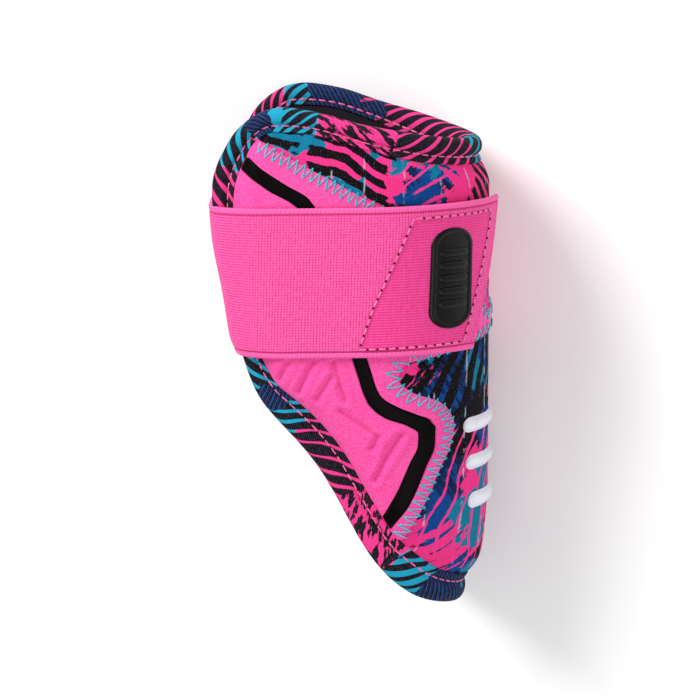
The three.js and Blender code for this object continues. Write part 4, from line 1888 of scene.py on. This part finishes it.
@dataclass
class Grip:
    """A rubber grip on the strap: an oblong with round ends and raised cross ribs."""

    around: float = 29.0
    up: float = 144.8
    width: float = 15.5
    length: float = 42.0
    base: float = 0.9
    rise: float = 1.1
    ribs: int = 5
    rib_share: float = 0.33
    rib_inset: float = 4.2
    rim: float = 1.0
    dish: float = 0.35
    seat: float = 16.0
    end_cells: int = 24
    middle_cells: int = 180
    columns: int = 64

    def build(self, wardrobe: Wardrobe) -> None:
        """Makes and dresses the grip.

        Args:
            wardrobe: every finish.
        """
        half, radius = self.length / 2, self.width / 2
        straight = half - radius
        ends = radius * (1 - np.cos(np.linspace(0.12, math.pi / 2, self.end_cells)))
        middle = np.linspace(-straight, straight, self.middle_cells)[1:-1]
        place = np.concatenate([ends - half, middle, half - ends[::-1]])
        reach = np.sqrt(np.maximum(radius**2 - np.maximum(np.abs(place) - straight, 0) ** 2, 0.01))
        share, place = np.meshgrid(np.linspace(-1, 1, self.columns + 1), place)
        across = np.sin(share * math.pi / 2) * reach[:, None]
        rim = radius - np.hypot(across, np.maximum(np.abs(place) - straight, 0))
        crown = self.base * np.sqrt(np.clip(1 - (1 - np.clip(rim / self.rim, 0, 1)) ** 2, 0.02, 1))
        pitch = 2 * straight / self.ribs
        beside = (np.mod((place + straight) / pitch, 1) - 0.5) * pitch
        bar = np.hypot(beside, np.maximum(np.abs(across) - (radius - self.rib_inset), 0))
        ridge = np.sqrt(np.clip(1 - (bar / (self.rib_share * pitch)) ** 2, 0, 1))
        ridge = ridge * (np.abs(place) < straight)
        dish = self.dish * smoothstep(rim, 1.3, 2.2)
        high = self.seat + crown - dish + self.rise * ridge
        low = np.full_like(high, self.seat)
        obj = Patch(self.around + across, self.up + place, low, high).build("rubber_grip")
        register(obj, wardrobe.grip, ["strap_grip"])


class Rib(NamedTuple):
    """A white rib across the spine: shares of the length and of the half girth."""

    up: float
    reach: float


@dataclass
class SpineRibs:
    """White moulded ribs across the spine, each shorter than the one above."""

    half_width: float = 3.2
    thick: float = 1.7
    seat: float = 0.05
    slope: float = 0.55
    columns: int = 96
    rows: int = 24

    RIBS = (Rib(0.375, 0.165), Rib(0.3, 0.15), Rib(0.225, 0.135))

    def build(self, wardrobe: Wardrobe) -> None:
        """Makes and dresses each rib.

        Args:
            wardrobe: every finish.
        """
        for number, rib in enumerate(self.RIBS, start=1):
            half = rib.reach * FORM.half_girth
            turn = np.linspace(-math.pi / 2, math.pi / 2, self.columns + 1)
            line = np.sin(turn) * half
            past = np.clip((np.abs(line) - (half - self.half_width)) / self.half_width, 0, 0.995)
            share, line = np.meshgrid(np.linspace(-1, 1, self.rows + 1), line, indexing="ij")
            share = np.sin(share * math.pi / 2)
            rise = share * self.half_width * np.sqrt(1 - past**2)[None, :]
            up = rib.up * FORM.length + rise
            slope = np.clip((1 - np.abs(share)) / self.slope, 0.06, 1)
            crown = self.thick * (slope - 0.12 * np.abs(slope - 0.5) ** 3 + 0.12 * share)
            crown = crown * (1 - 0.45 * past[None, :] ** 3)
            base = FORM.pad_top(line, up) + self.seat
            obj = Patch(line, up, base, base + crown).build(f"white_rib_{number}")
            register(obj, wardrobe.white, [f"spine_rib_{number}"])


@dataclass
class Seams:
    """Threads laid on the guard as many small stitches."""

    thread: float = 0.42
    tapered: bool = True
    floor_ease: float = 0.0003
    edge_share: float = 0.74
    edge_lift: float = 0.12
    thread_lift: float = 0.2
    seam_points: int = 60
    strap_pitch: float = 4.1
    strap_share: float = 0.72
    hole_share: float = 0.26
    hole_lead: float = 0.73
    end_pitch: float = 3.6
    end_share: float = 0.8
    zigzag_points: int = 900
    zigzag_steps: int = 8
    zigzag_thread: float = 0.31
    zigzag_pitch: float = 3.45
    zigzag_inside: float = 4.3
    zigzag_outside: float = 0.9

    ZIGZAGS = (("lower", 0.165, 0.553), ("upper", 0.588, 0.938))

    FAR_LINES = (0.06, 0.14, 0.86, 0.94)
    FAR_CROSSINGS = (2.0, 21.0)

    def stitch(self) -> tuple[Array, list[tuple]]:
        """Models one stitch along X as a squashed bead, tapered or straight.

        Returns:
            Its vertices, with a unit half length and a unit radius, and its faces.
        """
        rings = ((-1.06, 0.9), (1.06, 0.9))
        if self.tapered:
            rings = ((-1.0, 0.35), (-0.8, 0.8), (0.0, 1.0), (0.8, 0.8), (1.0, 0.35))
        sides = 6
        angle = np.arange(sides) * 2 * math.pi / sides
        points = [(x, r * math.cos(a), r * math.sin(a)) for x, r in rings for a in angle]
        last = (len(rings) - 1) * sides
        faces = [
            (ring + k, ring + (k + 1) % sides, ring + sides + (k + 1) % sides, ring + sides + k)
            for ring in range(0, last, sides)
            for k in range(sides)
        ]
        faces.append(tuple(range(sides))[::-1])
        faces.append(tuple(range(last, last + sides)))
        return np.array(points), faces

    def sew(self, name: str, starts: Array, ends: Array, ups: Array) -> Piece:
        """Lays one stitch from each start to each end.

        Args:
            name: the piece's name.
            starts: points in the frame.
            ends: points in the frame.
            ups: directions away from the cloth.

        Returns:
            All the stitches as one piece.
        """
        bead, faces = self.stitch()
        run = ends - starts
        half = np.linalg.norm(run, axis=1, keepdims=True) / 2
        onward = run / (2 * half)
        side = np.cross(ups, onward)
        side /= np.linalg.norm(side, axis=1, keepdims=True)
        lift = np.cross(onward, side)
        radius = self.thread * MILLI
        centre = (starts + ends) / 2
        points = (
            centre[:, None]
            + bead[None, :, :1] * (half * onward)[:, None]
            + bead[None, :, 1:2] * radius * side[:, None]
            + bead[None, :, 2:3] * radius * 0.75 * lift[:, None]
        )
        points[..., 2] = np.maximum(points[..., 2], self.floor_ease)
        count = len(bead)
        all_faces = [tuple(k + i * count for k in face) for i in range(len(starts)) for face in faces]
        mesh = bpy.data.meshes.new(name)
        mesh.from_pydata(points.reshape(-1, 3).tolist(), [], all_faces)
        obj = bpy.data.objects.new(name, mesh)
        bpy.context.scene.collection.objects.link(obj)
        Tool.finish(obj, 60)
        return obj

    def along(self, line: Array, pitch: float, share: float, lead: float) -> tuple[Array, Array]:
        """Cuts a line of points into stitch starts and ends.

        Args:
            line: points in the frame.
            pitch: metres from one stitch to the next.
            share: the stitch's share of the pitch.
            lead: the share of the pitch before the first stitch.

        Returns:
            The starts and ends.
        """
        length = lengths_along(line)
        first = np.arange(lead * pitch, length[-1] - pitch * share, pitch)
        return read_along(line, length, first), read_along(line, length, first + pitch * share)

    def running(
        self, name: str, flat: Array, height: Array, pitch: float, share: float, lead: float = 0.0
    ) -> Piece:
        """Sews a running stitch.

        Args:
            name: the piece's name.
            flat: places in the flat pattern along the seam.
            height: how high the thread lies at each.
            pitch: millimetres from one stitch to the next.
            share: the stitch's share of the pitch.
            lead: the share of the pitch before the first stitch.

        Returns:
            The stitches.
        """
        line, above = (FORM.to_frame(FORM.wrap(*flat.T, high)) for high in (height, height + 1))
        starts, ends = self.along(line, pitch * MILLI, share, lead)
        nearest = np.argmin(np.linalg.norm(line[None] - ((starts + ends) / 2)[:, None], axis=-1), axis=1)
        return self.sew(name, starts, ends, (above - line)[nearest])

    def build(self, wardrobe: Wardrobe) -> None:
        """Makes and dresses every seam.

        Args:
            wardrobe: every finish.
        """
        self.edge_seam(wardrobe)
        self.panel_seam(wardrobe)
        self.strap_seam(wardrobe)

    def edge_seam(self, wardrobe: Wardrobe) -> None:
        """Sews the running stitch of the rolled edge, seen on both its faces.

        Args:
            wardrobe: every finish.
        """
        roll = RolledEdge()
        row, even, whole = roll.stations_along()
        row, even = np.append(row, EDGE_COUNT), np.append(even, whole)
        flat = FORM.in_from_edge(row, roll.seam)
        for name, outside in (("edge_stitches", True), ("inner_edge_stitches", False)):
            lift = self.edge_lift if outside else -self.edge_lift
            height = roll.surface(roll.seam, outside) + lift + roll.pucker * roll.wave(even) * 0.5
            obj = self.running(name, flat, height, roll.stitch_pitch, self.edge_share)
            register(obj, wardrobe.pink_thread)

    def panel_seam(self, wardrobe: Wardrobe) -> None:
        """Sews the zigzags that hold the panel's sides.

        Args:
            wardrobe: every finish.
        """
        for sign, name in ((1, "near"), (-1, "far")):
            for part, low, high in self.ZIGZAGS:
                obj = self.zigzag(f"zigzag_{part}_{name}", sign, low, high)
                register(obj, wardrobe.teal_thread)

    def strap_seam(self, wardrobe: Wardrobe) -> None:
        """Sews the strap to its closing patch, and its far end to the pad.

        Args:
            wardrobe: every finish.
        """
        strap = Strap()
        bottom, end = strap.bottom * FORM.length, -strap.far_end * FORM.half_girth
        pieces, holes = [], []
        for start, stop in ClosingPatch.seam():
            share = np.linspace(0, 1, self.seam_points)[:, None]
            flat = np.array(start) + np.subtract(stop, start) * share
            height = strap.settled(flat[:, 0]) + strap.thick / 2 + self.thread_lift
            pitch = self.strap_pitch
            pieces.append(self.running("strap_stitches", flat, height, pitch, self.strap_share))
            # dark beads between the stitches paint the shade inside the needle holes
            hole = self.running("needle_holes", flat, height, pitch, self.hole_share, self.hole_lead)
            holes.append(hole)
        lowest, highest = self.FAR_LINES[0], self.FAR_LINES[-1]
        runs = [(end + np.linspace(-1.5, -22, 40), share) for share in self.FAR_LINES]
        runs += [(end - back, np.linspace(lowest, highest, 60)) for back in self.FAR_CROSSINGS]
        for around, share in runs:
            flat = np.stack(np.broadcast_arrays(around, bottom + share * strap.width), -1)
            height = np.full(len(flat), strap.middle + 0.9)
            pieces.append(self.running("strap_stitches", flat, height, self.end_pitch, self.end_share))
        register(Tool.join("strap_stitches", pieces), wardrobe.deep_thread)
        register(Tool.join("needle_holes", holes), wardrobe.needle_hole_shade)

    def zigzag(self, name: str, sign: int, low: float, high: float) -> Piece:
        """Sews a zigzag over one stretch of the panel's side.

        Args:
            name: the piece's name.
            sign: 1 for the near side, -1 for the far.
            low: share of the length where it starts.
            high: and where it ends.

        Returns:
            The stitches.
        """
        share = np.linspace(low, high, self.zigzag_points)
        line = np.stack([smooth_at(PANEL_SIDE, 1, share) * FORM.half_girth, share * FORM.length], -1)
        length = lengths_along(line)
        place = np.arange(0, length[-1], self.zigzag_pitch / self.zigzag_steps)
        edge = read_along(line, length, place)
        onward = np.gradient(edge, axis=0)
        spineward = np.stack([-onward[:, 1], onward[:, 0]], -1)
        spineward /= np.linalg.norm(spineward, axis=1, keepdims=True)
        swing = np.abs(np.mod(2 * np.arange(len(place)) / self.zigzag_steps, 2) - 1)
        off = -self.zigzag_inside + (self.zigzag_inside + self.zigzag_outside) * swing
        around, up = (edge + spineward * off[:, None]).T
        panel = SidePanel()
        over = 1 - smoothstep(off, -0.35, self.zigzag_outside)
        top = FORM.pad_top(around, up) + (panel.seat + panel.thick) * over + self.thread_lift
        spot, above = (FORM.to_frame(FORM.wrap(sign * around, up, high)) for high in (top, top + 1))
        thin = Seams(thread=self.zigzag_thread, tapered=False)
        return thin.sew(name, spot[:-1], spot[1:], (above - spot)[:-1])


@dataclass
class Studio:
    """The floor, the lights and the camera of the photograph."""

    azimuth: float = 7.0
    elevation: float = 8.5
    distance: float = 1600.0
    target: tuple[float, float, float] = (-47.0, 108.0, 0.0)
    view_width: float = 298.3
    sensor: float = 36.0

    def build(self) -> None:
        """Makes the stage, the lights and the camera."""
        self.floor()
        self.lights()
        self.camera()

    def floor(self) -> None:
        """Lays a plain pale floor."""
        Tool.alone()
        bpy.ops.mesh.primitive_plane_add(size=6)
        floor = bpy.context.object
        floor.name = "studio_floor"
        kit = NodeKit("pale_floor")
        cloud = kit.noise(kit.object_place(), 400.0, 1.0)
        shade = kit.mix(cloud, colour(250, 250, 250), colour(255, 255, 255))
        floor.data.materials.append(kit.dress(Base_Color=shade, Roughness=0.9))

    def lights(self) -> None:
        """Hangs soft lights and fills the room with pale light."""
        world = bpy.data.worlds.new("pale_room")
        bpy.context.scene.world = world
        world.use_nodes = True
        world.node_tree.nodes["Background"].inputs["Color"].default_value = (1, 1, 1, 1)
        world.node_tree.nodes["Background"].inputs["Strength"].default_value = 0.5
        for name, place, size, power in (
            ("key", (-0.85, 1.0, 1.1), 0.8, 25.5),
            ("fill", (0.9, -0.5, 1.5), 1.2, 12.0),
        ):
            data = bpy.data.lights.new(name, "AREA")
            data.size = size
            data.energy = power
            lamp = bpy.data.objects.new(name, data)
            lamp.location = place
            lamp.rotation_euler = (Vector((0, 0, 0.05)) - Vector(place)).to_track_quat("-Z", "Y").to_euler()
            bpy.context.scene.collection.objects.link(lamp)
        bpy.context.scene.view_settings.view_transform = "Standard"

    def camera(self) -> None:
        """Stands the camera at the photograph's angle to the guard."""
        a, e = math.radians(self.azimuth), math.radians(self.elevation)
        back = Vector((math.sin(a) * math.cos(e), math.sin(e), math.cos(a) * math.cos(e)))
        lean = FORM.lean()
        target = Vector(FORM.to_frame(np.array(self.target)))
        back = lean @ back
        up = lean @ Vector((0, 1, 0))
        right = up.cross(back).normalized()
        up = back.cross(right)
        data = bpy.data.cameras.new("camera")
        data.sensor_width = self.sensor
        data.lens = self.sensor * self.distance / self.view_width
        camera = bpy.data.objects.new("camera", data)
        turn = Matrix((right, up, back)).transposed().to_4x4()
        camera.matrix_world = Matrix.Translation(target + back * self.distance * MILLI) @ turn
        bpy.context.scene.collection.objects.link(camera)
        bpy.context.scene.camera = camera


def main() -> None:
    """Builds every piece in order."""
    logging.basicConfig(level=logging.INFO, format="%(name)s: %(message)s")
    Studio().build()
    wardrobe = Wardrobe()
    kinds = (Cover, Lining, RolledEdge, SidePanel, Strap, ClosingPatch, Grip, SpineRibs, Seams)
    for kind in kinds:
        kind().build(wardrobe)
    Tool.alone()


if __name__ == "__main__":
    main()
